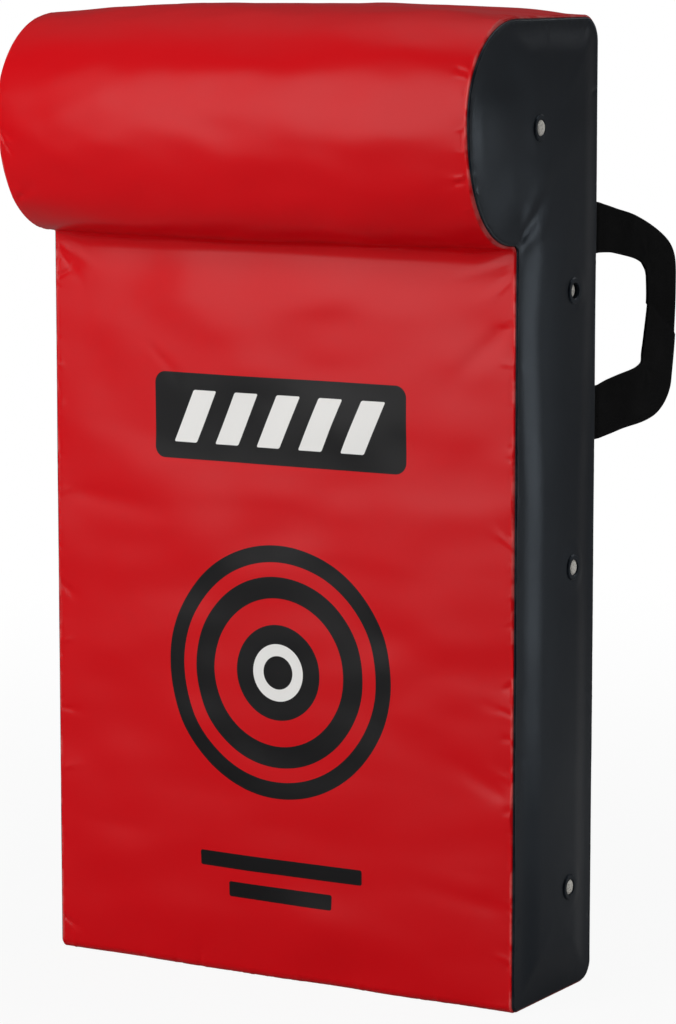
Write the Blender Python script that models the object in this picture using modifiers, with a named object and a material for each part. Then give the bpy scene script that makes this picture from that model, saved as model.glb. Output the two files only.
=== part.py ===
"""Roll-top tackle shield: a sewn PVC cover over foam, with hand loops, eyelets and a back zip.

Metres, +Z up. The shield stands on its base at z = 0, centred on x = 0 and y = 0. Its striking
face looks along -Y, its back along +Y. The hand loops stand straight back at rest.
"""
import math
from collections import namedtuple

import bmesh
import bpy
import numpy as np
from mathutils import Matrix, Vector

# Foam block and the roll along its top
BODY_WIDTH = 0.4415
BODY_HEIGHT = 0.800
SLAB_DEPTH = 0.1404
ROLL_HEIGHT = 0.1804
ROLL_REACH = 0.082
ROLL_NOSE_DROP = 0.0778
TOP_BACK_RADIUS = 0.022
BASE_BACK_RADIUS = 0.018
BASE_FRONT_RADIUS = 0.008
ROLL_LOWER_POWER = 2.2

# Cover cloth, and how far each panel swells between its seams
COVER = 0.001
CLEARANCE = 0.0003
FRONT_CROWN = 0.005
ROLL_CROWN = 0.008
BACK_CROWN = 0.004
SIDE_CROWN = 0.004
CROWN_RUN = 0.060
SIDE_EASE = 0.028

# Hand loops of webbing, sewn into the seams between side and back
WEBBING_WIDTH = 0.044
WEBBING_THICKNESS = 0.002
LOOP_TOP_DROP = 0.151
LOOP_SPAN = 0.1945
LOOP_REACH = 0.1445
UPPER_ARM_DROP = 0.018
LOWER_ARM_RISE = 0.010
FOLD_WIDTH = 0.003
TAIL_LENGTH = 0.025
PIVOT_STANDOFF = 0.0013
ROOT_OVERRUN = 0.0008
PIVOT_GAP = 0.0016
NOTCH_CLEARANCE = 0.001

# Eyelets: share of the slab's depth from its middle, and share of the body's height
EYELET_SHARES = ((-0.292, 0.891), (0.143, 0.725), (0.157, 0.443), (0.143, 0.111))
EYELET_BORE = 0.013
EYELET_FLANGE = 0.022
EYELET_WALL = 0.0006
EYELET_FLANGE_HEIGHT = 0.001
EYELET_LIP = 0.0013
EYELET_LIP_DEPTH = 0.0006
WASHER_THICKNESS = 0.0008
WASHER_DIAMETER = 0.021

# How the foam's ends swell, past the webbing tails
FOAM_END_SWELL = 0.0041
FOAM_END_EASE = 0.008

# Zip down the middle of the back
ZIP_MARGIN = 0.080
ZIP_WINDOW = 0.014
TOOTH_PITCH = 0.005
TOOTH_REACH = 0.0012
TOOTH_ROOT = 0.0026
TOOTH_GAP = 0.0003
TOOTH_FLARE = 0.0004
CHAIN_THICKNESS = 0.003
SPINE_WIDTH = 0.0014
SPINE_END = 0.001
TAPE_EDGE = 0.016
TAPE_THICKNESS = 0.0008
TAPE_END = 0.014
WINDOW_END = 0.016
STOP_HEIGHT = 0.003
STOP_WALL = 0.0008

# Zip slider and its pull tab
SLIDER_LENGTH = 0.016
SLIDER_ABOVE_CHAIN = 0.006
SLIDER_WIDTH = 0.011
SLIDER_PLATE = 0.0014
SLIDER_FLANGE = 0.0009
SLIDER_LEDGE = 0.0002
WEDGE_WIDTH = 0.0022
WEDGE_LENGTH = 0.005
BRIDGE_WIDTH = 0.0024
BRIDGE_WALL = 0.0012
BRIDGE_CHAMFER = 0.0007
PULL_LENGTH = 0.036
PULL_WIDTH = 0.0095
PULL_THICKNESS = 0.0016
PULL_BAR = 0.002
PULL_WINDOW_WIDTH = 0.0045
PULL_WINDOW_LENGTH = 0.008
BAR_CLEARANCE = 0.0016

CUTTER_OVERRUN = 0.002
WELD = 0.00001
COLUMNS = 14

# Derived places
HALF_WIDTH = BODY_WIDTH / 2
HALF_DEPTH = SLAB_DEPTH / 2
CREASE_HEIGHT = BODY_HEIGHT - ROLL_HEIGHT
ROLL_NOSE_HEIGHT = BODY_HEIGHT - ROLL_NOSE_DROP
INSET = COVER + CLEARANCE
BACK_PLANE = HALF_DEPTH + BACK_CROWN
SIDE_PLANE = HALF_WIDTH + SIDE_CROWN
TAIL_OUTER = HALF_WIDTH - INSET
WEBBING_X = TAIL_OUTER - WEBBING_THICKNESS / 2
FOAM_HALF_WIDTH = TAIL_OUTER - WEBBING_THICKNESS - CLEARANCE
PIVOT_Y = HALF_DEPTH + PIVOT_STANDOFF
LOOP_TOP = BODY_HEIGHT - LOOP_TOP_DROP
LOOP_BOTTOM = LOOP_TOP - LOOP_SPAN
TAPE_OUTER = BACK_PLANE - INSET
CHAIN_Y = TAPE_OUTER - TAPE_THICKNESS / 2
ZIP_SPACE = BODY_HEIGHT - TOP_BACK_RADIUS - BASE_BACK_RADIUS - 2 * ZIP_MARGIN
TEETH = math.floor(ZIP_SPACE / TOOTH_PITCH + WELD)
ZIP_LENGTH = TEETH * TOOTH_PITCH
ZIP_LOW = BASE_BACK_RADIUS + ZIP_MARGIN
ZIP_HIGH = ZIP_LOW + ZIP_LENGTH

# Colours and finishes: base colour, roughness, metallic
FINISHES = {
    "red_pvc": ((0.60, 0.012, 0.020), 0.36, 0.0),
    "black_pvc": ((0.016, 0.017, 0.018), 0.42, 0.0),
    "foam": ((0.80, 0.79, 0.75), 0.95, 0.0),
    "webbing": ((0.004, 0.004, 0.004), 0.85, 0.0),
    "black_metal": ((0.012, 0.012, 0.013), 0.35, 0.6),
    "zip_plastic": ((0.008, 0.008, 0.009), 0.55, 0.0),
}

Station = namedtuple("Station", "point normal crown")


def clear_scene():
    for old in list(bpy.data.objects):
        bpy.data.objects.remove(old, do_unlink=True)


clear_scene()
shield = bpy.data.collections.new("tackle_shield")
cutters = bpy.data.collections.new("cutters")
bpy.context.scene.collection.children.link(shield)
bpy.context.scene.collection.children.link(cutters)


def finish(name):
    """One Principled material for each sub-part, with its finish's colour."""
    colour, roughness, metallic = FINISHES[name]
    material = bpy.data.materials.new(name)
    material.use_nodes = True
    shader = material.node_tree.nodes["Principled BSDF"]
    shader.inputs["Base Color"].default_value = (*colour, 1.0)
    shader.inputs["Roughness"].default_value = roughness
    shader.inputs["Metallic"].default_value = metallic
    return material


def add(name, mesh, finish_name, collection=shield):
    piece = bpy.data.objects.new(name, mesh)
    collection.objects.link(piece)
    if finish_name:
        mesh.materials.clear()
        mesh.materials.append(finish(finish_name))
    return piece


def remove(piece):
    bpy.data.objects.remove(piece, do_unlink=True)


def settled(piece):
    """Replace a piece's modifiers, or its curve, by the mesh that they make, with caps welded."""
    graph = bpy.context.evaluated_depsgraph_get()
    graph.update()
    mesh = bpy.data.meshes.new_from_object(piece.evaluated_get(graph))
    mesh.transform(piece.matrix_world)
    shape = bmesh.new()
    shape.from_mesh(mesh)
    bmesh.ops.remove_doubles(shape, verts=shape.verts, dist=WELD)
    shape.to_mesh(mesh)
    shape.free()
    name = piece.name
    collection = piece.users_collection[0]
    remove(piece)
    solid = bpy.data.objects.new(name, mesh)
    collection.objects.link(solid)
    return solid


def boolean(piece, other, operation):
    """Join or cut a piece with another solid, which is used up."""
    tool = piece.modifiers.new(operation.lower(), "BOOLEAN")
    tool.operation = operation
    tool.object = other
    tool.solver = "EXACT"
    solid = settled(piece)
    remove(other)
    return solid


def as_cutter(piece):
    for collection in list(piece.users_collection):
        collection.objects.unlink(piece)
    cutters.objects.link(piece)
    piece.hide_render = True
    piece.display_type = "WIRE"
    return piece


def mirrored(piece, name):
    """The same piece for the other side of the shield."""
    mesh = piece.data.copy()
    mesh.transform(Matrix.Scale(-1, 4, (1, 0, 0)))
    mesh.flip_normals()
    mesh.materials[0] = mesh.materials[0].copy()
    return add(name, mesh, None)


def smooth(piece, angle=40):
    piece.data.shade_smooth()
    piece.data.set_sharp_from_angle(angle=math.radians(angle))


def ease(share):
    """A soft step from 0 to 1."""
    share = min(max(share, 0.0), 1.0)
    return share * share * (3 - 2 * share)


def box(name, low, high, finish_name=None, collection=shield):
    """A solid block between two corners."""
    mesh = bpy.data.meshes.new(name)
    shape = bmesh.new()
    bmesh.ops.create_cube(shape, size=1)
    low, high = Vector(low), Vector(high)
    for corner in shape.verts:
        corner.co = (low + high) / 2 + Matrix.Diagonal(high - low) @ corner.co
    shape.to_mesh(mesh)
    shape.free()
    return add(name, mesh, finish_name, collection)


def plate(name, outline, thickness, place, finish_name=None):
    """A flat outline made solid: its point (a, b) lies at place @ (a, b, 0), at half thickness."""
    mesh = bpy.data.meshes.new(name)
    shape = bmesh.new()
    face = shape.faces.new([shape.verts.new((a, b, -thickness / 2)) for a, b in outline])
    raised = bmesh.ops.extrude_face_region(shape, geom=[face])
    upper = [item for item in raised["geom"] if isinstance(item, bmesh.types.BMVert)]
    bmesh.ops.translate(shape, verts=upper, vec=(0, 0, thickness))
    shape.transform(place)
    bmesh.ops.recalc_face_normals(shape, faces=shape.faces)
    shape.to_mesh(mesh)
    shape.free()
    return add(name, mesh, finish_name)


# The plane of the hand loops and side panels: outline (y, z) at a given x
def side_plane(x):
    return Matrix(((0, 0, 1, x), (1, 0, 0, 0), (0, 1, 0, 0), (0, 0, 0, 1)))


# The plane of the zip, seen from behind with a along -X: outline (-x, z) at a given y
def back_plane(y):
    return Matrix(((-1, 0, 0, 0), (0, 0, 1, y), (0, 1, 0, 0), (0, 0, 0, 1)))


def sheet(name, columns, rows, place):
    """A grid of triangles whose corner (column, row) lies at place(column, row).

    Sheets that nest share their diagonals, so that their facets stay parallel.
    """
    mesh = bpy.data.meshes.new(name)
    grid = bmesh.new()
    bmesh.ops.create_grid(grid, x_segments=columns, y_segments=rows, size=1)
    for corner in grid.verts:
        column = round((corner.co.x + 1) / 2 * columns)
        row = round((corner.co.y + 1) / 2 * rows)
        corner.co = place(column, row)
    bmesh.ops.triangulate(grid, faces=grid.faces, quad_method="FIXED")
    grid.to_mesh(mesh)
    grid.free()
    return mesh


def thickened(name, mesh, finish_name):
    """Cover cloth: an outer surface given its thickness inwards."""
    piece = add(name, mesh, finish_name)
    cloth = piece.modifiers.new("cloth", "SOLIDIFY")
    cloth.thickness = COVER
    cloth.offset = -1
    cloth.use_even_offset = True
    return settled(piece)


# Side profile of the cover, as stations in the plane x = 0

def station(y, z, normal_y, normal_z):
    return Station(Vector((0, y, z)), Vector((0, normal_y, normal_z)).normalized(), 0.0)


def run(start, stop, steps, normal):
    """Stations on a straight stretch, both ends included."""
    shares = [step / steps for step in range(steps + 1)]
    return [station(start[0] + (stop[0] - start[0]) * share,
                    start[1] + (stop[1] - start[1]) * share, *normal) for share in shares]


def bend(centre, radii, start, stop, steps, power=2.0):
    """Stations on an arc of an ellipse, squarer with a power over 2, between two angles."""
    stations = []
    for step in range(steps + 1):
        angle = math.radians(start + (stop - start) * step / steps)
        cosine, sine = math.cos(angle), math.sin(angle)
        across = math.copysign(abs(cosine) ** (2 / power), cosine)
        along = math.copysign(abs(sine) ** (2 / power), sine)
        lean = math.copysign(abs(cosine) ** (2 - 2 / power), cosine) / radii[0]
        rise = math.copysign(abs(sine) ** (2 - 2 / power), sine) / radii[1]
        stations.append(station(centre[0] + radii[0] * across, centre[1] + radii[1] * along,
                                lean, rise))
    return stations


def joined(*stretches):
    """One list of stations, with the shared ends of the stretches kept once."""
    stations = list(stretches[0])
    for stretch in stretches[1:]:
        close = (stations[-1].point - stretch[0].point).length < WELD
        stations.extend(stretch[1:] if close else stretch)
    return stations


def swollen(stations, crown, low_run, high_run):
    """Give stations a crown that rises from the seams at both ends of their panel."""
    travelled = [0.0]
    for before, after in zip(stations, stations[1:]):
        travelled.append(travelled[-1] + (after.point - before.point).length)
    length = travelled[-1]
    crowns = [crown * ease(way / low_run) * ease((length - way) / high_run) for way in travelled]
    return [now._replace(crown=height) for now, height in zip(stations, crowns)]


def sunk(stations, depth):
    return [now._replace(point=now.point - now.normal * depth) for now in stations]


def crowned(now, x):
    """A station's place at x across the shield, where its panel swells most at the middle."""
    swell = now.crown * (1 - (x / HALF_WIDTH) ** 2)
    return Vector((x, 0, 0)) + now.point + now.normal * swell


def panel(name, stations, low, high, columns, finish_name):
    """One cut piece of cover cloth, spanning from x = low to x = high along its stations."""
    def place(column, row):
        return crowned(stations[row], low + (high - low) * column / columns)
    mesh = sheet(name, columns, len(stations) - 1, place)
    return thickened(name, mesh, finish_name)


front_bend = bend((-HALF_DEPTH + BASE_FRONT_RADIUS, BASE_FRONT_RADIUS),
                  (BASE_FRONT_RADIUS, BASE_FRONT_RADIUS), 270, 180, 4)
front_rise = run((-HALF_DEPTH, BASE_FRONT_RADIUS), (-HALF_DEPTH, CREASE_HEIGHT - CLEARANCE),
                 12, (-1, 0))
front_stations = swollen(joined(front_bend, front_rise), FRONT_CROWN, CROWN_RUN, CROWN_RUN)

roll_centre = (-HALF_DEPTH, ROLL_NOSE_HEIGHT)
roll_start = run((-HALF_DEPTH + COVER, CREASE_HEIGHT), (-HALF_DEPTH, CREASE_HEIGHT), 1, (0, -1))
roll_under = bend(roll_centre, (ROLL_REACH, ROLL_NOSE_HEIGHT - CREASE_HEIGHT),
                  270, 180, 9, ROLL_LOWER_POWER)
roll_over = bend(roll_centre, (ROLL_REACH, BODY_HEIGHT - ROLL_NOSE_HEIGHT), 180, 90, 8)
roll_top = run((-HALF_DEPTH, BODY_HEIGHT), (HALF_DEPTH - TOP_BACK_RADIUS, BODY_HEIGHT),
               3, (0, 1))
top_back_bend = bend((HALF_DEPTH - TOP_BACK_RADIUS, BODY_HEIGHT - TOP_BACK_RADIUS),
                     (TOP_BACK_RADIUS, TOP_BACK_RADIUS), 90, 0, 4)
roll_stations = swollen(joined(roll_start, roll_under, roll_over, roll_top, top_back_bend),
                        ROLL_CROWN, CROWN_RUN, CROWN_RUN)

back_stations = swollen(
    run((HALF_DEPTH, BODY_HEIGHT - TOP_BACK_RADIUS - CLEARANCE),
        (HALF_DEPTH, BASE_BACK_RADIUS + CLEARANCE), 24, (1, 0)),
    BACK_CROWN, CROWN_RUN, CROWN_RUN)

base_back_bend = bend((HALF_DEPTH - BASE_BACK_RADIUS, BASE_BACK_RADIUS),
                      (BASE_BACK_RADIUS, BASE_BACK_RADIUS), 0, -90, 4)
base_stations = joined(
    base_back_bend,
    run((HALF_DEPTH - BASE_BACK_RADIUS, 0),
        (-HALF_DEPTH + BASE_FRONT_RADIUS + CLEARANCE, 0), 1, (0, -1)))


# Red cover: striking face, roll and base

smooth(panel("front_panel", front_stations, -HALF_WIDTH, HALF_WIDTH, COLUMNS, "red_pvc"))
smooth(panel("roll_cover", roll_stations, -HALF_WIDTH, HALF_WIDTH, COLUMNS, "red_pvc"))
smooth(panel("base_panel", base_stations, -HALF_WIDTH, HALF_WIDTH, 1, "red_pvc"))


# Black back: two halves that meet on the middle seam and leave a window for the zip

def tail_notch(name, top):
    """Where a webbing tail comes out between the side and the back."""
    low = (FOAM_HALF_WIDTH, HALF_DEPTH - CUTTER_OVERRUN, top - WEBBING_WIDTH - NOTCH_CLEARANCE)
    high = (HALF_WIDTH + CUTTER_OVERRUN, HALF_DEPTH + CUTTER_OVERRUN, top + NOTCH_CLEARANCE)
    return as_cutter(box(name, low, high))


TAIL_TOPS = {"upper": LOOP_TOP, "lower": LOOP_BOTTOM + WEBBING_WIDTH}

back = panel("back_panel_right", back_stations, CLEARANCE / 2, HALF_WIDTH, COLUMNS // 2, "black_pvc")
window = as_cutter(box("zip_window",
                       (-ZIP_WINDOW / 2, HALF_DEPTH - CUTTER_OVERRUN, ZIP_LOW - WINDOW_END),
                       (ZIP_WINDOW / 2, BACK_PLANE + CUTTER_OVERRUN, ZIP_HIGH + WINDOW_END)))
back = boolean(back, window, "DIFFERENCE")
for level, top in TAIL_TOPS.items():
    back = boolean(back, tail_notch("notch_" + level, top), "DIFFERENCE")
smooth(back)
mirrored(back, "back_panel_left")


# Black sides: swollen panels set inside the edges of the red and back panels

front_edge = sunk(front_stations, INSET)
roll_edge = sunk(roll_stations[1:1 + len(roll_under) + len(roll_over)], INSET)
back_edge = sunk(joined(top_back_bend, back_stations, base_back_bend), INSET)


def edge_depth(edge, height):
    """Where an edge of the side profile lies at a height."""
    ordered = sorted((now.point.z, now.point.y) for now in edge)
    return float(np.interp(height, [z for z, _ in ordered], [y for _, y in ordered]))


SIDE_COLUMN_SHARES = (0, 0.05, 0.12, 0.22, 0.5, 0.78, 0.88, 0.95, 1)
crease_inset = CREASE_HEIGHT + INSET
corner_edge = sunk(base_back_bend + top_back_bend[1:], INSET)
levels = [now.point.z for now in front_edge[:-1] + roll_edge + corner_edge]
levels = sorted(set(round(z, 5) for z in levels + [CREASE_HEIGHT, crease_inset, SIDE_EASE]))
levels = [z for z, following in zip(levels, levels[1:] + [2 * BODY_HEIGHT])
          if following - z > CLEARANCE]


def front_depth(height):
    return edge_depth(front_edge if height <= crease_inset else roll_edge, height)


side_rows = [(front_depth(z), edge_depth(back_edge, z), z) for z in levels]
side_outline = ([Vector((low, z)) for low, _, z in side_rows]
                + [Vector((high, z)) for _, high, z in reversed(side_rows)])


def edge_distance(y, z):
    """How far a point of the side lies from the side's outline."""
    here = Vector((y, z))
    least = BODY_HEIGHT
    for start, stop in zip(side_outline, side_outline[1:] + side_outline[:1]):
        way = stop - start
        if way.length < WELD:
            continue
        share = min(max((here - start).dot(way) / way.length_squared, 0.0), 1.0)
        least = min(least, (here - start - way * share).length)
    return least


def side_corner(column, row):
    low, high, z = side_rows[row]
    y = low + (high - low) * SIDE_COLUMN_SHARES[column]
    return Vector((HALF_WIDTH + SIDE_CROWN * ease(edge_distance(y, z) / SIDE_EASE), y, z))


def turned(name, profile, place, finish_name, steps=16):
    """A ring: a closed profile of (radius, height) turned about X at a place."""
    mesh = bpy.data.meshes.new(name)
    mesh.from_pydata([(radius, 0, height) for radius, height in profile],
                     [(index, (index + 1) % len(profile)) for index in range(len(profile))], [])
    ring = add(name, mesh, finish_name)
    screw = ring.modifiers.new("turn", "SCREW")
    screw.steps = steps
    screw.render_steps = steps
    screw.use_merge_vertices = True
    screw.merge_threshold = WELD
    ring.matrix_world = Matrix.Translation(place) @ Matrix.Rotation(math.radians(90), 4, "Y")
    bpy.context.view_layer.update()
    solid = settled(ring)
    shape = bmesh.new()
    shape.from_mesh(solid.data)
    bmesh.ops.recalc_face_normals(shape, faces=shape.faces)
    shape.to_mesh(solid.data)
    shape.free()
    return solid


BORE_RADIUS = EYELET_BORE / 2
BARREL_RADIUS = BORE_RADIUS + EYELET_WALL
HOLE_RADIUS = BARREL_RADIUS + CLEARANCE
WASHER_TOP = -COVER - CLEARANCE
LIP_TOP = WASHER_TOP - WASHER_THICKNESS - CLEARANCE
LIP_BOTTOM = LIP_TOP - EYELET_LIP_DEPTH
FLANGE_TOP = CLEARANCE + EYELET_FLANGE_HEIGHT
FLANGE_RADIUS = EYELET_FLANGE / 2
EYELET_PROFILE = (
    (BORE_RADIUS, LIP_BOTTOM),
    (BORE_RADIUS, FLANGE_TOP - EYELET_WALL),
    (BARREL_RADIUS, FLANGE_TOP),
    (FLANGE_RADIUS - EYELET_FLANGE_HEIGHT, FLANGE_TOP),
    (FLANGE_RADIUS, CLEARANCE),
    (BARREL_RADIUS, CLEARANCE),
    (BARREL_RADIUS, LIP_TOP),
    (BARREL_RADIUS + EYELET_LIP, LIP_TOP),
    (BARREL_RADIUS + EYELET_WALL, LIP_BOTTOM),
)
WASHER_PROFILE = (
    (HOLE_RADIUS, WASHER_TOP),
    (WASHER_DIAMETER / 2, WASHER_TOP),
    (WASHER_DIAMETER / 2, WASHER_TOP - WASHER_THICKNESS),
    (HOLE_RADIUS, WASHER_TOP - WASHER_THICKNESS),
)

side = thickened("side_panel_right",
                 sheet("side_panel_right", len(SIDE_COLUMN_SHARES) - 1, len(levels) - 1,
                       side_corner), "black_pvc")
for number, (depth_share, height_share) in enumerate(EYELET_SHARES, start=1):
    spot = Vector((SIDE_PLANE, depth_share * SLAB_DEPTH, height_share * BODY_HEIGHT))
    mesh = bpy.data.meshes.new("hole")
    drill = bmesh.new()
    bmesh.ops.create_cone(drill, cap_ends=True, segments=16, radius1=HOLE_RADIUS,
                          radius2=HOLE_RADIUS, depth=SIDE_CROWN + COVER + CUTTER_OVERRUN)
    drill.transform(Matrix.Translation(spot) @ Matrix.Rotation(math.radians(90), 4, "Y"))
    drill.to_mesh(mesh)
    drill.free()
    side = boolean(side, as_cutter(add("hole", mesh, None)), "DIFFERENCE")
    for kind, profile in (("eyelet", EYELET_PROFILE), ("eyelet_washer", WASHER_PROFILE)):
        ring = turned(f"{kind}_right_{number}", profile, spot, "black_metal")
        smooth(ring)
        mirrored(ring, f"{kind}_left_{number}")
smooth(side)
mirrored(side, "side_panel_left")


# Foam: a slab the full height, and the half-round nose bonded to its front

def foam_block(name, ring_stations, end_insets):
    """A foam block: the ring of stations runs round it, and its flat ends swell a little."""
    rows = len(ring_stations)

    def place(column, row):
        return crowned(ring_stations[row % rows], FOAM_HALF_WIDTH * (2 * column / COLUMNS - 1))

    mesh = sheet(name, COLUMNS, rows, place)
    shape = bmesh.new()
    shape.from_mesh(mesh)
    bmesh.ops.remove_doubles(shape, verts=shape.verts, dist=WELD)
    corners = [now.point for now in ring_stations]
    low = Vector([min(corner[axis] for corner in corners) for axis in range(3)])
    high = Vector([max(corner[axis] for corner in corners) for axis in range(3)])
    middle, half = (low + high) / 2, (high - low) / 2
    for outward in (1, -1):
        rim = [edge for edge in shape.edges if edge.is_boundary
               and edge.verts[0].co.x * outward > 0]
        before = 0.0
        for inset, swell in end_insets:
            raised = bmesh.ops.extrude_edge_only(shape, edges=rim)["geom"]
            rim = [item for item in raised
                   if isinstance(item, bmesh.types.BMEdge) and item.is_boundary]
            for corner in {corner for edge in rim for corner in edge.verts}:
                corner.co.x = outward * (FOAM_HALF_WIDTH + swell)
                for axis in (1, 2):
                    share = (half[axis] - inset) / (half[axis] - before)
                    corner.co[axis] = middle[axis] + (corner.co[axis] - middle[axis]) * share
            before = inset
        bmesh.ops.contextual_create(shape, geom=rim)
    bmesh.ops.recalc_face_normals(shape, faces=shape.faces)
    shape.to_mesh(mesh)
    shape.free()
    block = add(name, mesh, "foam")
    smooth(block)
    return block


slab_front_y = -HALF_DEPTH + INSET
slab_top = [now for now in sunk(roll_stations, INSET) if now.point.y > slab_front_y]
slab_top = [now for now in slab_top if now.point.z > ROLL_NOSE_HEIGHT]
top_corner = slab_top[0]._replace(point=Vector((0, slab_front_y, BODY_HEIGHT - INSET)))
slab_back = sunk(run((HALF_DEPTH, BODY_HEIGHT - TOP_BACK_RADIUS), (HALF_DEPTH, BASE_BACK_RADIUS),
                     1, (1, 0)), INSET)
slab_base = sunk(base_stations[1:-1], INSET)
slab_ring = joined(sunk(front_stations, INSET)[:-1],
                   [station(slab_front_y, CREASE_HEIGHT, -1, 0)],
                   [top_corner], slab_top, slab_back, slab_base)
foam_block("foam_slab", slab_ring,
           ((TAIL_LENGTH + CLEARANCE, 0.0), (TAIL_LENGTH + FOAM_END_EASE, FOAM_END_SWELL)))

nose_back_y = slab_front_y - CLEARANCE
nose_arc = [now for now in sunk(joined(roll_under, roll_over), INSET) if now.point.y < nose_back_y]
arc_crowns = {round(now.point.z, 6): now.crown for now in sunk(roll_stations, INSET)}
nose_arc = [now._replace(crown=arc_crowns.get(round(now.point.z, 6), 0.0)) for now in nose_arc]
nose_ring = ([station(nose_back_y, CREASE_HEIGHT + INSET, 0, -1)] + nose_arc
             + [top_corner._replace(point=Vector((0, nose_back_y, BODY_HEIGHT - INSET)))])
foam_block("foam_nose", nose_ring,
           ((SIDE_EASE / 2, FOAM_END_SWELL / 4), (SIDE_EASE, FOAM_END_SWELL / 2)))


# Hand loops: one length of webbing each, folded over at both corners so that it turns flat

def webbing(name, outline, x, thickness=WEBBING_THICKNESS):
    return plate(name, outline, thickness, side_plane(x))


def hand_loop(name):
    arm_start = PIVOT_Y - ROOT_OVERRUN
    outer = HALF_DEPTH + LOOP_REACH
    inner = outer - WEBBING_WIDTH
    upper = LOOP_TOP - UPPER_ARM_DROP
    lower = LOOP_BOTTOM + LOWER_ARM_RISE
    upper_inner, upper_outer = (inner, upper), (outer, upper - WEBBING_WIDTH)
    lower_inner, lower_outer = (inner, lower), (outer, lower + WEBBING_WIDTH)
    step = FOLD_WIDTH * math.sqrt(2)
    upper_arm = [(arm_start, LOOP_TOP), upper_inner, upper_outer,
                 (inner, upper - WEBBING_WIDTH), (arm_start, LOOP_TOP - WEBBING_WIDTH)]
    lower_arm = [(arm_start, LOOP_BOTTOM), (arm_start, LOOP_BOTTOM + WEBBING_WIDTH),
                 (inner, lower + WEBBING_WIDTH), lower_outer, lower_inner]
    grip = [upper_inner, lower_inner, lower_outer, upper_outer]
    upper_fold = [upper_inner, upper_outer, (outer - step, upper - WEBBING_WIDTH),
                  (inner, upper - step)]
    lower_fold = [lower_inner, (inner, lower + step), (outer - step, lower + WEBBING_WIDTH),
                  lower_outer]
    layer = WEBBING_THICKNESS + CLEARANCE
    fold_thickness = WEBBING_THICKNESS + layer
    loop = webbing(name, upper_arm, WEBBING_X)
    for part, outline, x, thickness in (
            ("lower_arm", lower_arm, WEBBING_X, WEBBING_THICKNESS),
            ("upper_fold", upper_fold, WEBBING_X + layer / 2, fold_thickness),
            ("lower_fold", lower_fold, WEBBING_X + layer / 2, fold_thickness),
            ("grip", grip, WEBBING_X + layer, WEBBING_THICKNESS)):
        loop = boolean(loop, webbing(part, outline, x, thickness), "UNION")
    loop.data.materials.clear()
    loop.data.materials.append(finish("webbing"))
    return loop


def on_pivot(loop, side_sign):
    """Give a loop its origin on its hinge, under an empty that stands on the hinge line."""
    pivot = Vector((side_sign * WEBBING_X, PIVOT_Y, (LOOP_TOP + LOOP_BOTTOM) / 2))
    hinge = bpy.data.objects.new(loop.name + "_hinge", None)
    shield.objects.link(hinge)
    hinge.location = pivot
    loop.data.transform(Matrix.Translation(-pivot))
    loop.parent = hinge


loop = hand_loop("hand_loop_right")
left_loop = mirrored(loop, "hand_loop_left")
on_pivot(loop, 1)
on_pivot(left_loop, -1)

for level, top in TAIL_TOPS.items():
    tail = box(f"loop_tail_right_{level}",
               (WEBBING_X - WEBBING_THICKNESS / 2, HALF_DEPTH - TAIL_LENGTH, top - WEBBING_WIDTH),
               (TAIL_OUTER, PIVOT_Y - PIVOT_GAP, top), "webbing")
    mirrored(tail, f"loop_tail_left_{level}")


# Zip: two toothed tapes, whose flared teeth lock into each other's gaps

def chain_outline(shift):
    """Outline (-x, z) of one side's spine and teeth, which reach past the middle."""
    neck = (TOOTH_PITCH / 2 - TOOTH_GAP) / 2
    tip_half = neck + TOOTH_FLARE / 2
    root_half = neck - TOOTH_FLARE / 2
    outer = TOOTH_ROOT + SPINE_WIDTH
    low, high = ZIP_LOW - SPINE_END, ZIP_HIGH + SPINE_END
    outline = [(-outer, low), (-outer, high)]
    edge = []
    for index in range(TEETH):
        middle = ZIP_LOW + TOOTH_PITCH * (index + shift)
        edge += [(-TOOTH_ROOT, middle - root_half), (TOOTH_REACH, middle - tip_half),
                 (TOOTH_REACH, middle + tip_half), (-TOOTH_ROOT, middle + root_half)]
    return outline + [(-TOOTH_ROOT, high)] + edge[::-1] + [(-TOOTH_ROOT, low)]


def zip_half(name, shift):
    chain = plate(name, chain_outline(shift), CHAIN_THICKNESS, back_plane(CHAIN_Y))
    tape = box("tape", (TOOTH_ROOT + SPINE_WIDTH / 2, TAPE_OUTER - TAPE_THICKNESS,
                        ZIP_LOW - TAPE_END),
               (TAPE_EDGE, TAPE_OUTER, ZIP_HIGH + TAPE_END))
    half = boolean(chain, tape, "UNION")
    half.data.materials.clear()
    half.data.materials.append(finish("zip_plastic"))
    return half


zip_half("zip_half_right", 1 / 4)
left_half = zip_half("zip_half_left", 3 / 4)
left_half.data.transform(Matrix.Scale(-1, 4, (1, 0, 0)))
left_half.data.flip_normals()


tape_back = TAPE_OUTER - TAPE_THICKNESS
stop_front = (TAPE_OUTER + CLEARANCE, TAPE_OUTER + CLEARANCE + STOP_WALL)
stop_rear = (tape_back - CLEARANCE - STOP_WALL, tape_back - CLEARANCE)
web_edge = TOOTH_ROOT + SPINE_WIDTH / 2 - CLEARANCE
stop_edge = TOOTH_ROOT + SPINE_WIDTH
bottom_high = ZIP_LOW - SPINE_END - CLEARANCE
bottom_low = bottom_high - STOP_HEIGHT
stop_middle = (bottom_low + bottom_high) / 2
one_side = [(stop_edge, stop_rear[0]), (stop_edge, stop_rear[1]), (web_edge, stop_rear[1]),
            (web_edge, stop_front[0]), (stop_edge, stop_front[0]), (stop_edge, stop_front[1])]
other_side = [(-x, y) for x, y in reversed(one_side)]
plate("zip_bottom_stop", one_side + other_side, STOP_HEIGHT, Matrix.Translation((0, 0, stop_middle)),
      "zip_plastic")

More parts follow.
